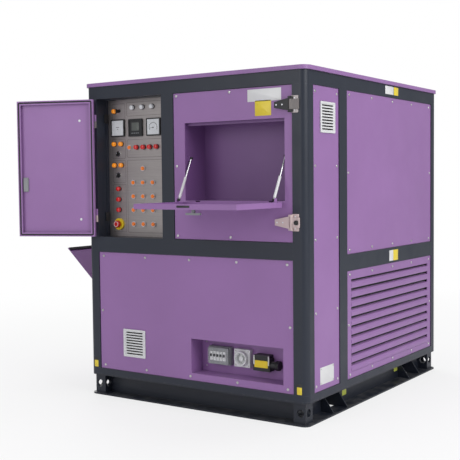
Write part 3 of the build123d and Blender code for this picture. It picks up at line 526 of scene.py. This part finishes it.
def opened(name, axis):
    """The turn about a hinge's pins that takes a piece drawn shut to where it stands open."""
    joint = joint_named(name)
    pivot = Vector(joint["pos_m"])
    turn = Matrix.Rotation(-math.radians(joint["range_deg"][1]), 4, axis)
    return Matrix.Translation(pivot) @ turn @ Matrix.Translation(-pivot)


def carried(shape, matrix):
    """A shape moved by a matrix."""
    rotation = np.array(matrix.to_3x3())
    return shape[0] @ rotation.T + np.array(matrix.translation), shape[1], shape[2]


# --- control panel ---------------------------------------------------------------------------

METER_X = [METERS[0][0] + METER_HALF, centres("panel_meters")[0], METERS[1][0] - METER_HALF]
METER_Z = [METERS[1][2] - METER_HALF, METERS[0][2] + METER_HALF, METERS[0][2] + METER_HALF]
METER_FACE_Y = PANEL_Y - 0.0072
LEFT_X = centres("estop_button")[0]
STEP_X = [centres("step_button_%02d" % n)[0] for n in (1, 2, 3)]
ROW_Z = centres("master_button")[2]
UPPER_Z = centres("selector_upper")[2]
LOWER_Z = centres("selector_lower")[2]
KEY = centres("key_switch")
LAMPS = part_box("pilot_lamps")
TOP_LAMP_Z = LAMPS[1][2] - LAMP_R
PAIR_X = [LAMPS[0][0] + LAMP_R, LAMPS[0][0] + 0.063]
ROW_X = [LAMPS[1][0] - LAMP_R - step for step in (0.141, 0.092, 0.047, 0.0)]
LAMP_PLACES = {
    "amber": [(PAIR_X[0] + 0.003, KEY[2]), (PAIR_X[0], UPPER_Z + 0.055), (PAIR_X[1], UPPER_Z + 0.055),
              (PAIR_X[0], LOWER_Z + 0.056), (PAIR_X[1], LOWER_Z + 0.056)],
    "milk": [(x, TOP_LAMP_Z) for x in STEP_X],
    "red": [(x, ROW_Z) for x in ROW_X] + [(LEFT_X + 0.001, z) for z in STOP_LAMP_ZS],
}

LAMP_COLLAR = [(0.0145, 0.0), (0.0145, 0.003), (0.0140, 0.0045), (0.0128, 0.005), (0.0120, 0.0048),
               (0.0118, 0.001)]
LAMP_DOME = [(0.0125, 0.004), (0.0128, 0.012), (0.0120, 0.0170), (0.0095, 0.0192), (0.0060, 0.0200),
             (0.0025, 0.0203), (0.0004, 0.0203)]


def build_lamps():
    """Collars and domed lenses in their three colours, in place of the plain lamps."""
    every = [place for places in LAMP_PLACES.values() for place in places]
    collars = [placed(lathe(LAMP_COLLAR), "front", (x, PANEL_Y, z)) for x, z in every]
    base = piece("lamp_collars", collars, "black", "cabinet")
    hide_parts("pilot_lamps")
    for look, places in LAMP_PLACES.items():
        domes = [placed(lathe(LAMP_DOME), "front", (x, PANEL_Y, z)) for x, z in places]
        piece("lamp_lens_" + look, domes, look, "cabinet")


def dial_marks(cx, cz, y):
    """Scale ticks on a round arc, the needle and its hub."""
    first, last = math.radians(200), math.radians(-20)
    marks = []
    for step in range(41):
        angle = first + (last - first) * step / 40
        long = 0.006 if step % 5 == 0 else 0.0035
        place = (cx + 0.027 * math.cos(angle), y, cz + 0.027 * math.sin(angle))
        marks.append(placed(plate(long, 0.0016, 0.0002, slab(0.0002), 2), "front", place, angle))
    needle = first - math.radians(12)
    place = (cx + 0.012 * math.cos(needle), y - 0.0006, cz + 0.012 * math.sin(needle))
    marks.append(placed(plate(0.030, 0.0014, 0.0005, slab(0.0003), 3), "front", place, needle))
    marks.append(placed(lathe([(0.004, 0), (0.004, 0.001), (0.0032, 0.0014)]), "front", (cx, y, cz)))
    return marks


def build_meter_faces():
    """White dials with their marks, a display with keys, and clear windows over the dials."""
    flat = [(0.0, 0.0), (0.0, 0.0006), (0.0004, 0.001)]
    dials = [placed(plate(0.083, 0.083, 0.002, flat), "front", (x, METER_FACE_Y, z))
             for x, z in ((METER_X[0], METER_Z[0]), (METER_X[2], METER_Z[2]))]
    piece("meter_dials", dials, "dial", "cabinet")
    mark_y = METER_FACE_Y - 0.001
    marks = dial_marks(METER_X[2], METER_Z[2] - 0.004, mark_y)
    for dz, wide in ((0.004, 0.024), (-0.006, 0.010)):
        dash = plate(wide, 0.0025, 0.0006, slab(0.0002), 3)
        marks.append(placed(dash, "front", (METER_X[0], mark_y, METER_Z[0] + dz)))
    piece("meter_marks", marks, "engraved", "cabinet")
    screen = placed(plate(0.052, 0.045, 0.002, [(0, 0), (0, 0.0006), (0.0006, 0.0008)]), "front",
                    (METER_X[1], METER_FACE_Y, METER_Z[1] + 0.006))
    piece("meter_screen", [screen], "lcd", "cabinet")
    key = plate(0.009, 0.0045, 0.001, [(0, 0), (0, 0.001), (0.0006, 0.0015)])
    key_xs = [METER_X[1] + (step - 1.5) * 0.0145 for step in range(4)]
    keys = [placed(key, "front", (x, METER_FACE_Y, METER_Z[1] - 0.030)) for x in key_xs]
    piece("meter_keys", keys, "grey", "cabinet")
    window = [(0.0, 0.0), (0.0, 0.0005), (0.0005, 0.001)]
    panes = [placed(plate(0.0835, 0.0835, 0.002, window), "front", (x, PANEL_Y - 0.0095, z))
             for x, z in ((METER_X[0], METER_Z[0]), (METER_X[2], METER_Z[2]))]
    piece("meter_windows", panes, "clear", "cabinet")


def outline_ring(width, height, radius, thick):
    """A thin raised line round a rounded rectangle."""
    return plate(width, height, radius, [(0, 0), (0, 0.0003), (thick, 0.0003), (thick, 0)], 6)


def build_group_lines():
    """Engraved outlines round the groups of fittings on the control panel."""
    inner_x = PANEL[0][0]
    right = (STEP_X[0] - 0.046, PANEL[1][0] - 0.008)
    left = (LEFT_X - 0.044, LEFT_X + 0.050)
    last_step = centres("step_button_12")[2]
    stop_z = centres("estop_button")[2]
    boxes = [
        (left, (TOP_LAMP_Z - 0.066, TOP_LAMP_Z + 0.026)),
        (right, (TOP_LAMP_Z - 0.046, TOP_LAMP_Z + 0.030)),
        (left, (UPPER_Z - 0.026, UPPER_Z + 0.082)),
        (left, (LOWER_Z - 0.040, LOWER_Z + 0.083)),
        (left, (stop_z - 0.044, STOP_GROUP_TOP)),
        (right, (ROW_Z - 0.055, ROW_Z + 0.044)),
        (right, (last_step - 0.048, ROW_Z - 0.069)),
    ]
    rings = []
    for (x0, x1), (z0, z1) in boxes:
        x0 = max(x0, inner_x + 0.006)
        ring = outline_ring(x1 - x0, z1 - z0, 0.008, 0.0012)
        rings.append(placed(uncapped(ring), "front", ((x0 + x1) / 2, PANEL_Y, (z0 + z1) / 2)))
    piece("engraved_groups", rings, "engraved", "cabinet")


def build_caption_strips():
    """A blank caption strip under each step button and lamp."""
    strips = []
    for number in range(1, 13):
        x, _, z = centres("step_button_%02d" % number)
        strip = plate(0.022, 0.005, 0.0008, slab(0.0004), 3)
        strips.append(placed(strip, "front", (x, PANEL_Y, z - 0.024)))
    for places in LAMP_PLACES.values():
        for x, z in places:
            strip = plate(0.02, 0.004, 0.0008, slab(0.0004), 3)
            strips.append(placed(strip, "front", (x, PANEL_Y, z - 0.022)))
    piece("caption_strips", strips, "stainless", "cabinet")


STOP_DISC = [(0.0325, 0.0), (0.0325, 0.0098), (0.0322, 0.0102), (0.0112, 0.0102)]


def build_stop_plate():
    """The yellow disc behind the stop button and a raised rim on its head."""
    x, _, z = centres("estop_button")
    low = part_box("estop_button")[0][1]
    disc = placed(lathe(STOP_DISC, 48), "front", (x, PANEL_Y, z))
    piece("stop_disc", [uncapped(disc)], "yellow", "cabinet")
    rim = lathe([(0.0150, -0.002), (0.0150, 0.0005), (0.0138, 0.001), (0.0126, 0.0005),
                 (0.0126, -0.002)], 40)
    # The rim uses the glowing white lens: a painted highlight.
    piece("stop_head_rim", [placed(uncapped(rim), "front", (x, low, z))], "milk", "estop_button")


def build_selector_rings():
    """Bright rings and a white pointer line for each selector."""
    rings = []
    for z in (UPPER_Z, LOWER_Z):
        ring = lathe([(0.0155, 0), (0.0155, 0.004), (0.0145, 0.0062), (0.0125, 0.0062),
                      (0.0114, 0.005)], 40)
        rings.append(placed(uncapped(ring), "front", (centres("selector_upper")[0], PANEL_Y, z)))
    piece("selector_rings", rings, "chrome", "cabinet")
    for node in ("selector_upper", "selector_lower"):
        low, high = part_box(node)
        mark = placed(plate(0.0016, 0.01, 0.0004, slab(0.0003), 2), "front",
                      ((low[0] + high[0]) / 2, low[1], high[2] - 0.008))
        # The pointer line uses the glowing white lens: a painted highlight.
        piece(node + "_mark", [mark], "milk", node)


def build_button_domes():
    """Each spring button's cap gets a dished, rim-edged face."""
    dish = [(0.0100, -0.0004), (0.0098, 0.0006), (0.0090, 0.0009), (0.0078, 0.0004), (0.0050, 0.0001),
            (0.0005, 0.0)]
    nodes = ["step_button_%02d" % n for n in range(1, 13)] + ["master_button", "aux_button"]
    for node in nodes:
        x, _, z = centres(node)
        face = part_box(node)[0][1]
        piece(node + "_face", [placed(lathe(dish, 28), "front", (x, face, z))], "orange", node)


# --- fittings --------------------------------------------------------------------------------

DOOR_PIN_X = joint_named("access_door_hinge")["pos_m"][0]
SCREW = [(0.0068, 0.0), (0.0070, 0.0016), (0.0062, 0.0030), (0.0040, 0.0038), (0.0022, 0.0040),
         (0.0018, 0.0026), (0.0004, 0.0026)]
SMALL_SCREW = [(0.0040, 0.0), (0.0041, 0.0010), (0.0034, 0.0020), (0.0018, 0.0024), (0.0014, 0.0016),
               (0.0003, 0.0016)]


def build_access_screws():
    """Pan-head screws on the access door and along the flap's hinge edge."""
    low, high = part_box("access_panel")
    y = low[1]
    left, right = low[0] + 0.018, (low[0] + high[0]) / 2 - 0.004
    top, bottom = high[2] - 0.014, low[2] + 0.016
    spots = [(left, top), (right, top), (left, (top + bottom) / 2), (left, bottom), (right, bottom)]
    heads = [placed(lathe(SCREW, 20), "front", (x, y, z)) for x, z in spots]
    piece("access_door_screws", heads, "zinc", "access_door")
    low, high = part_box("flap")
    floor_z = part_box("flap")[0][2] + 0.003
    row = [placed(lathe(SMALL_SCREW, 16), "up", (x, high[1] - 0.05, floor_z))
           for x in np.linspace(low[0] + 0.06, high[0] - 0.06, 6)]
    piece("flap_screws", row, "zinc", "flap")


def build_hinge_plates():
    """Wall plates and pale-headed screws at both strap hinges, and the lower one's round knob."""
    low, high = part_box("strap_hinge_straps")
    y = FRONT_Y
    x = DOOR_PIN_X + 0.018
    screws = []
    heights = (("upper", high[2] - STRAP_HALF, "stainless"), ("lower", low[2] + STRAP_HALF, "blush"))
    for name, z, look in heights:
        wall = plate(0.040, 0.083, 0.004, SHEET)
        piece("hinge_wall_plate_" + name, [placed(wall, "front", (x, y, z))], look, "cabinet")
        for dz in (-0.028, 0.028):
            screws.append(placed(lathe(SMALL_SCREW, 16), "front", (x, y - 0.003, z + dz)))
    # These screw heads use the glowing white lens: a painted highlight.
    piece("hinge_wall_screws", screws, "milk", "cabinet")
    strap_screws = [placed(lathe(SMALL_SCREW, 16), "front", (x, low[1] + 0.005, z))
                    for _, z, _ in heights for x in (low[0] + 0.012, low[0] + 0.045)]
    # These screw heads use the glowing white lens: a painted highlight.
    piece("strap_screws", strap_screws, "milk", "access_door")
    knob = lathe([(0.005, 0), (0.005, 0.006), (0.010, 0.008), (0.012, 0.011), (0.011, 0.016),
                  (0.008, 0.018), (0.0005, 0.019)], 32)
    place = (DOOR_PIN_X + 0.031, y - 0.006, low[2] + STRAP_HALF)
    piece("lower_hinge_knob", [placed(knob, "front", place)], "black", "cabinet")


def build_blank_plates():
    """Bare plates where the real cabinet carries signs and its rating plate."""
    y = FRONT_Y + FACE_INSET
    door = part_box("access_panel")
    top = door[1][2]
    white = placed(plate(0.193, 0.060, 0.003, THIN), "front", (DOOR_PIN_X - 0.156, y, top - 0.0395))
    yellow = placed(plate(0.093, 0.075, 0.003, THIN), "front", (DOOR_PIN_X - 0.163, y, top - 0.1025))
    piece("door_blank_white", [white], "blank_white", "access_door")
    piece("door_blank_yellow", [yellow], "blank_yellow", "access_door")
    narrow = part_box("right_narrow_panel")
    middle = (narrow[0][1] + narrow[1][1]) / 2
    face = RIGHT_X - FACE_INSET
    rating = placed(plate(0.144, 0.086, 0.004, THIN), "right", (face, middle, RATING_Z))
    piece("rating_plate_blank", [rating], "blank_white", "cabinet")
    rivets = [placed(lathe(SMALL_SCREW, 14), "right", (face + 0.0005, middle + dy, RATING_Z + dz))
              for dy in (-0.064, 0.064) for dz in (-0.036, 0.036)]
    piece("rating_plate_rivets", rivets, "zinc", "cabinet")
    blank = plate(0.027, 0.053, 0.003, THIN)
    post = [placed(blank, "front", (side * POST_BLANK_X, FRONT_Y, POST_BLANK_Z)) for side in (-1, 1)]
    piece("post_blanks", post, "post_blank", "cabinet")


def build_rail_blanks():
    """Pale and yellow blanks on the right side's rails, and lime ones beside the fork pockets."""
    top_rail, mid_rail = (1.690, 0.045), (0.763, 0.060)
    yellow, pale = [], []
    for blanks, spans in ((pale, ((0.0740, 0.185, top_rail), (0.126, 0.180, mid_rail))),
                          (yellow, ((0.190, 0.250, top_rail), (0.180, 0.246, mid_rail)))):
        for start, end, (z, tall) in spans:
            blank = plate(end - start - 0.001, tall, 0.003, THIN)
            blanks.append(placed(blank, "right", (RIGHT_X, (start + end) / 2, z)))
    piece("rail_blank_yellow", yellow, "blank_yellow", "cabinet")
    piece("rail_blank_white", pale, "blank_white", "cabinet")
    web_x = RIGHT_X - 0.080
    lime = [placed(plate(0.048, 0.040, 0.003, THIN), "right", (web_x, y, z))
            for y, z in ((-0.280, 0.062), (0.392, 0.070))]
    piece("fork_blanks", lime, "blank_green", "cabinet")


def build_breaker_details():
    """Breaker toggles with their levers, under a clear cover."""
    low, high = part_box("breaker_box")
    x, z = (low[0] + high[0]) / 2, (low[2] + high[2]) / 2
    toggles = [placed(plate(0.017, 0.05, 0.002, TOGGLE), "front",
                      (x + (step - 2) * 0.020, low[1], z)) for step in range(5)]
    piece("breaker_toggles", toggles, "white", "cabinet")
    levers = [placed(plate(0.010, 0.014, 0.002, [(0, 0), (0, 0.005), (0.002, 0.008)]), "front",
                     (x + (step - 2) * 0.020, low[1] - 0.006, z + 0.004)) for step in range(5)]
    piece("breaker_levers", levers, "black", "cabinet")
    shell = [(0, -0.012), (0, 0.010), (0.002, 0.014), (0.006, 0.016)]
    cover = placed(plate(0.122, 0.082, 0.008, shell), "front", (x, low[1], z))
    piece("breaker_cover", [cover], "clear", "cabinet")


def build_outlet_details():
    """The outlet's rim, black plates as painted shade of its pin slots, and corner screws."""
    low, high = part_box("socket_outlet")
    x, z = (low[0] + high[0]) / 2, (low[2] + high[2]) / 2
    rim = lathe([(0.038, 0), (0.038, 0.006), (0.036, 0.010), (0.031, 0.010), (0.029, 0.004),
                 (0.0275, 0.0)], 48)
    piece("outlet_rim", [placed(uncapped(rim), "front", (x, low[1] + 0.002, z))], "white", "cabinet")
    # Black plates stand in for the pin slots: painted shade of the openings.
    slots = [placed(plate(0.0025, 0.009, 0.001, slab(0.0004), 3), "front",
                    (x + dx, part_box("socket_outlet")[0][1] + 0.0035, z + dz), turn)
             for dx, dz, turn in ((-0.006, -0.002, 0.5), (0.006, -0.002, -0.5), (0.0, 0.007, 0.0))]
    piece("outlet_slot_shades", slots, "black", "cabinet")
    corner = [placed(lathe(SMALL_SCREW, 14), "front", (x + sx * 0.039, low[1] + 0.012, z + sz * 0.037))
              for sx in (-1, 1) for sz in (-1, 1)]
    piece("outlet_screws", corner, "zinc", "cabinet")


def build_connector_details():
    """The cable connector's yellow plate, gland ribs and latches, and the recess's screws."""
    low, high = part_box("cable_connector")
    tag = placed(plate(0.080, 0.036, 0.004, SHEET), "front",
                 (low[0] + 0.049, low[1] + 0.004, low[2] + 0.036))
    piece("connector_plate", [tag], "yellow", "cabinet")
    ribs = [placed(lathe([(0.0242, -0.002), (0.0252, 0.0), (0.0242, 0.002)], 24), "right",
                   (high[0] - 0.016 + step * 0.005, low[1] + 0.026, low[2] + 0.032)) for step in range(3)]
    piece("gland_ribs", [uncapped(rib) for rib in ribs], "black", "cabinet")
    latch = [placed(plate(0.008, 0.05, 0.002, TOGGLE), "front",
                    (low[0] + dx, low[1] + 0.004, low[2] + 0.056)) for dx in (0.008, 0.094)]
    piece("connector_latches", latch, "zinc", "cabinet")
    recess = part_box("socket_recess_box")
    back = [placed(lathe(SMALL_SCREW, 14), "front", (cx, recess[1][1] - 0.002, cz))
            for cx in (recess[0][0] + 0.03, recess[1][0] - 0.03)
            for cz in (recess[0][2] + 0.03, recess[1][2] - 0.03)]
    piece("recess_screws", back, "zinc", "cabinet")


def build_flap_details():
    """A black plate on the lip as painted shade of the keeper slot, and the black boots at both ends of
    each strut.
    """
    low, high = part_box("flap")
    # The keeper slot is drawn as a black plate: painted shade of its opening.
    slot = placed(plate(0.075, 0.010, 0.003, [(0, 0), (0, 0.0012), (0.001, 0.0018)]), "front",
                  ((low[0] + high[0]) / 2, low[1], low[2] + 0.014))
    piece("flap_keeper_slot_shade", [slot], "black", "flap")
    ball = lathe([(0.0035, -0.008), (0.0062, -0.006), (0.0072, 0.0), (0.0062, 0.006),
                  (0.0035, 0.008)], 20)
    for side in ("left", "right"):
        eye_low, eye_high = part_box("strut_cylinder_" + side)
        _, rod_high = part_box("strut_rod_" + side)
        x = (eye_low[0] + eye_high[0]) / 2
        foot = placed(ball, "right", (x, eye_low[1] + 0.006, eye_low[2] + 0.006))
        piece("strut_boot_" + side, [uncapped(foot)], "black", "strut_cylinder_" + side)
        head = placed(ball, "right", (x, rod_high[1] - 0.006, rod_high[2] - 0.006))
        piece("strut_cap_" + side, [uncapped(head)], "black", "strut_rod_" + side)


def build_door_details():
    """Seal strip, screws and latch case on the inside of the control door."""
    swing = opened("control_door_hinge", "Z")
    bay = (PANEL[0][0] - 0.002, PANEL[1][0])
    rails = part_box("control_door")
    z0, z1 = rails[0][2], rails[1][2]
    x0, x1 = bay[0] + 0.0025, bay[1] - 0.0025
    inner = FRONT_Y + 0.021
    seal = plate(x1 - x0 - 0.012, z1 - z0 - 0.012, 0.010,
                 [(0, 0), (0.001, 0.0022), (0.004, 0.003), (0.007, 0.0022), (0.008, 0)], 6)
    seal = placed(uncapped(seal), "rear", ((x0 + x1) / 2, inner, (z0 + z1) / 2))
    piece("door_seal", [carried(seal, swing)], "rubber", "control_door")
    skin = FRONT_Y + 0.004
    heads = [placed(lathe(SCREW, 20), "rear", (x0 + 0.085, skin, z)) for z in (z0 + 0.095, z1 - 0.115)]
    # These screw heads use the glowing white lens: a painted highlight.
    piece("door_inner_screws", [carried(head, swing) for head in heads], "milk", "control_door")
    bolt = placed(plate(0.030, 0.080, 0.004, [(0, 0), (0, 0.006), (0.003, 0.010)]), "rear",
                  (x1 - 0.040, skin, centres("door_latch")[2]))
    piece("door_latch_case", [carried(bolt, swing)], "grey", "control_door")


def build_jamb_blocks():
    """Black hinge blocks on the control bay's left jamb."""
    block = plate(0.030, 0.050, 0.002, [(0, 0), (0, 0.005), (0.001, 0.006)])
    x = PANEL[0][0]
    blocks = [placed(block, "right", (x, PANEL_Y - 0.022, z)) for z in JAMB_BLOCK_ZS]
    piece("jamb_hinge_blocks", blocks, "black", "cabinet")


VENT_RIM = [(0, -0.001), (0, 0.0022), (0.003, 0.003), (0.010, 0.0022), (0.011, 0.0)]


def build_vent_details():
    """A raised rim and corner screws on each vent grille."""
    low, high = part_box("vent_grilles")
    spots = {"front": (low[0] + 0.075, FRONT_Y, low[2] + 0.075),
             "right": (RIGHT_X, SIDE_VENT_Y, high[2] - 0.075)}
    for side, origin in spots.items():
        rim = plate(0.152, 0.152, 0.004, VENT_RIM)
        piece("vent_rim_" + side, [placed(uncapped(rim), side, origin)], "white", "cabinet")
        screws = []
        for a in (-0.068, 0.068):
            for z in (-0.068, 0.068):
                shift = (a, 0, z) if side == "front" else (0, a, z)
                screws.append(placed(lathe(SMALL_SCREW, 14), side, [o + s for o, s in zip(origin, shift)]))
        piece("vent_screws_" + side, screws, "zinc", "cabinet")


def build_louvre_shade_sheets():
    """Black sheets, drawn thin, right behind the slats of both louvred panels: painted shade in the gaps
    between slats.
    """
    sheet = slab(0.001)
    low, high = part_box("right_louver_panel")
    middle = ((low[1] + high[1]) / 2, (low[2] + high[2]) / 2)
    screen = plate(high[1] - low[1] - 0.06, high[2] - low[2] - 0.03, 0.003, sheet)
    # A black sheet behind the slats, painted shade.
    piece("right_louvre_shade_sheet", [placed(screen, "right", (low[0] - 0.0012, *middle))], "rubber", "cabinet")
    low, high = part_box("rear_louver_panel")
    middle = ((low[0] + high[0]) / 2, (low[2] + high[2]) / 2)
    screen = plate(high[0] - low[0] - 0.12, high[2] - low[2] - 0.08, 0.003, sheet)
    place = (middle[0], low[1] - 0.0012, middle[1])
    piece("rear_louvre_shade_sheet", [placed(screen, "rear", place)], "rubber", "cabinet")


def build_left_flap_details():
    """The dark edge seal of the left flap, laid along its free edge."""
    low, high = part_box("left_flap")
    pivot = Vector(joint_named("left_flap_hinge")["pos_m"])
    swing = opened("left_flap_hinge", "Y")
    long = high[1] - low[1] - 0.006
    strip = plate(long, 0.020, 0.003, [(0, 0), (0.0005, 0.003), (0.004, 0.0042)], 5)
    origin = (pivot[0] + 0.007, (low[1] + high[1]) / 2, pivot[2] + 0.399)
    piece("left_flap_seal", [carried(placed(strip, "right", origin), swing)], "rubber", "left_flap")


def build_fan_guard():
    """Concentric wire rings and spokes behind the side louvres."""
    _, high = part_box("fan_housing")
    y, z = centres("fan_impeller")[1], centres("fan_impeller")[2]
    wire = 0.002
    around = np.linspace(0, 2 * math.pi, 9)
    rings = []
    for radius in np.linspace(0.05, 0.25, 9):
        section = [(radius + wire * math.cos(t), wire * math.sin(t)) for t in around]
        shape = lathe(section, 56)
        rings.append(placed(uncapped(shape), "right", (high[0] + 0.003, y, z)))
    for turn in range(4):
        bar = plate(0.520, 0.004, 0.002, SHEET, 3)
        rings.append(placed(bar, "right", (high[0] + 0.0045, y, z), turn * math.pi / 4))
    piece("fan_guard", rings, "dark", "cabinet")


def build_element_collars():
    """A steel collar round each end of every heating element, on the racks' outer faces."""
    low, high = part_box("resistor_racks")
    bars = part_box("heating_elements")
    ring = lathe([(0.0105, 0.0), (0.018, 0.0), (0.018, 0.010), (0.0135, 0.016), (0.0105, 0.016)], 14)
    collars = []
    for y in np.linspace(bars[0][1] + 0.010, bars[1][1] - 0.010, 6):
        for z in np.linspace(bars[0][2] + 0.010, bars[1][2] - 0.010, 8):
            collars.append(placed(uncapped(ring), "right", (high[0], y, z)))
            collars.append(placed(uncapped(ring), "left", (low[0], y, z)))
    piece("element_collars", collars, "heat_steel", "cabinet")


# --- stage -----------------------------------------------------------------------------------

def build_floor():
    """A pale floor that fades to pure white away from the object."""
    mesh = bpy.data.meshes.new("studio_floor")
    size = 30.0
    corners = [(-size, -size, 0), (size, -size, 0), (size, size, 0), (-size, size, 0)]
    mesh.from_pydata(corners, [], [(0, 1, 2, 3)])
    floor = bpy.data.objects.new("studio_floor", mesh)
    bpy.context.scene.collection.objects.link(floor)
    material, tree, shader, coords = blank_material("floor_white", 0.9)
    shader.inputs["Base Color"].default_value = (0.86, 0.86, 0.86, 1)
    lit = tree.nodes.new("ShaderNodeEmission")
    lit.inputs["Strength"].default_value = 1.0
    mix = tree.nodes.new("ShaderNodeMixShader")
    path = tree.nodes.new("ShaderNodeLightPath")
    away = tree.nodes.new("ShaderNodeVectorMath")
    away.operation = "LENGTH"
    tree.links.new(coords, away.inputs[0])
    share = spread(tree, away.outputs["Value"], 1.2, 5.0, 0.72, 1.0)
    tree.links.new(arith(tree, "MULTIPLY", path.outputs["Is Camera Ray"], share), mix.inputs[0])
    tree.links.new(shader.outputs[0], mix.inputs[1])
    tree.links.new(lit.outputs[0], mix.inputs[2])
    output = next(node for node in tree.nodes if node.type == "OUTPUT_MATERIAL")
    tree.links.new(mix.outputs[0], output.inputs["Surface"])
    mesh.materials.append(material)


def build_world():
    """White surroundings to the camera, and a soft sky light on the object."""
    world = bpy.data.worlds.new("studio")
    bpy.context.scene.world = world
    world.use_nodes = True
    tree = world.node_tree
    tree.nodes.clear()
    path = tree.nodes.new("ShaderNodeLightPath")
    seen = tree.nodes.new("ShaderNodeBackground")
    seen.inputs["Color"].default_value = (1, 1, 1, 1)
    seen.inputs["Strength"].default_value = 1.0
    soft = tree.nodes.new("ShaderNodeBackground")
    soft.inputs["Color"].default_value = (0.95, 0.97, 1.0, 1)
    soft.inputs["Strength"].default_value = 0.42
    mix = tree.nodes.new("ShaderNodeMixShader")
    output = tree.nodes.new("ShaderNodeOutputWorld")
    tree.links.new(path.outputs["Is Camera Ray"], mix.inputs[0])
    tree.links.new(soft.outputs[0], mix.inputs[1])
    tree.links.new(seen.outputs[0], mix.inputs[2])
    tree.links.new(mix.outputs[0], output.inputs["Surface"])


def area_light(name, place, target, size, power, colour=(1, 1, 1)):
    """A square soft light aimed at a point."""
    data = bpy.data.lights.new(name, "AREA")
    data.size = size
    data.energy = power
    data.color = colour
    lamp = bpy.data.objects.new(name, data)
    lamp.location = place
    lamp.rotation_euler = (Vector(target) - Vector(place)).to_track_quat("-Z", "Y").to_euler()
    bpy.context.scene.collection.objects.link(lamp)


def build_lights():
    """A large key from the right, a softer front fill, a top light and one from the back left."""
    area_light("key_right", (6.0, -1.5, 4.2), (0.3, 0, 0.8), 4.0, 248)
    area_light("front_fill", (-1.5, -7.0, 3.0), (0, 0, 0.9), 4.0, 96)
    area_light("top_soft", (0.0, 0.5, 6.0), (0, 0, 1.0), 4.0, 108)
    area_light("back_left", (-5.0, 4.0, 3.5), (0, 0, 0.9), 3.0, 108)


CAMERA_PLACE = (2.8142, -4.5928, 1.1893)
CAMERA_YAW = math.radians(34.12)
CAMERA_PITCH = math.radians(-3.05)
CAMERA_ROLL = math.radians(-0.59)
CAMERA_LENS = 70.90


def build_camera():
    """The viewing camera: yaw and pitch give its line of sight, roll turns it about that line."""
    yaw, pitch, roll = CAMERA_YAW, CAMERA_PITCH, CAMERA_ROLL
    ahead = Vector((-math.sin(yaw) * math.cos(pitch), math.cos(yaw) * math.cos(pitch), math.sin(pitch)))
    right = Vector((math.cos(yaw), math.sin(yaw), 0))
    up = right.cross(ahead)
    side = right * math.cos(roll) + up * math.sin(roll)
    top = up * math.cos(roll) - right * math.sin(roll)
    data = bpy.data.cameras.new("view")
    data.sensor_fit = "HORIZONTAL"
    data.sensor_width = 36.0
    data.lens = CAMERA_LENS
    camera = bpy.data.objects.new("view", data)
    rotation = Matrix((side, top, -ahead)).transposed()
    camera.matrix_world = Matrix.Translation(CAMERA_PLACE) @ rotation.to_4x4()
    bpy.context.scene.collection.objects.link(camera)
    bpy.context.scene.camera = camera
    bpy.context.scene.view_settings.view_transform = "Standard"


dress_cad()
build_lamps()
build_meter_faces()
build_group_lines()
build_caption_strips()
build_stop_plate()
build_selector_rings()
build_button_domes()
build_access_screws()
build_hinge_plates()
build_blank_plates()
build_rail_blanks()
build_breaker_details()
build_outlet_details()
build_connector_details()
build_flap_details()
build_door_details()
build_jamb_blocks()
build_vent_details()
build_louvre_shade_sheets()
build_left_flap_details()
build_fan_guard()
build_element_collars()
build_floor()
build_world()
build_lights()
build_camera()
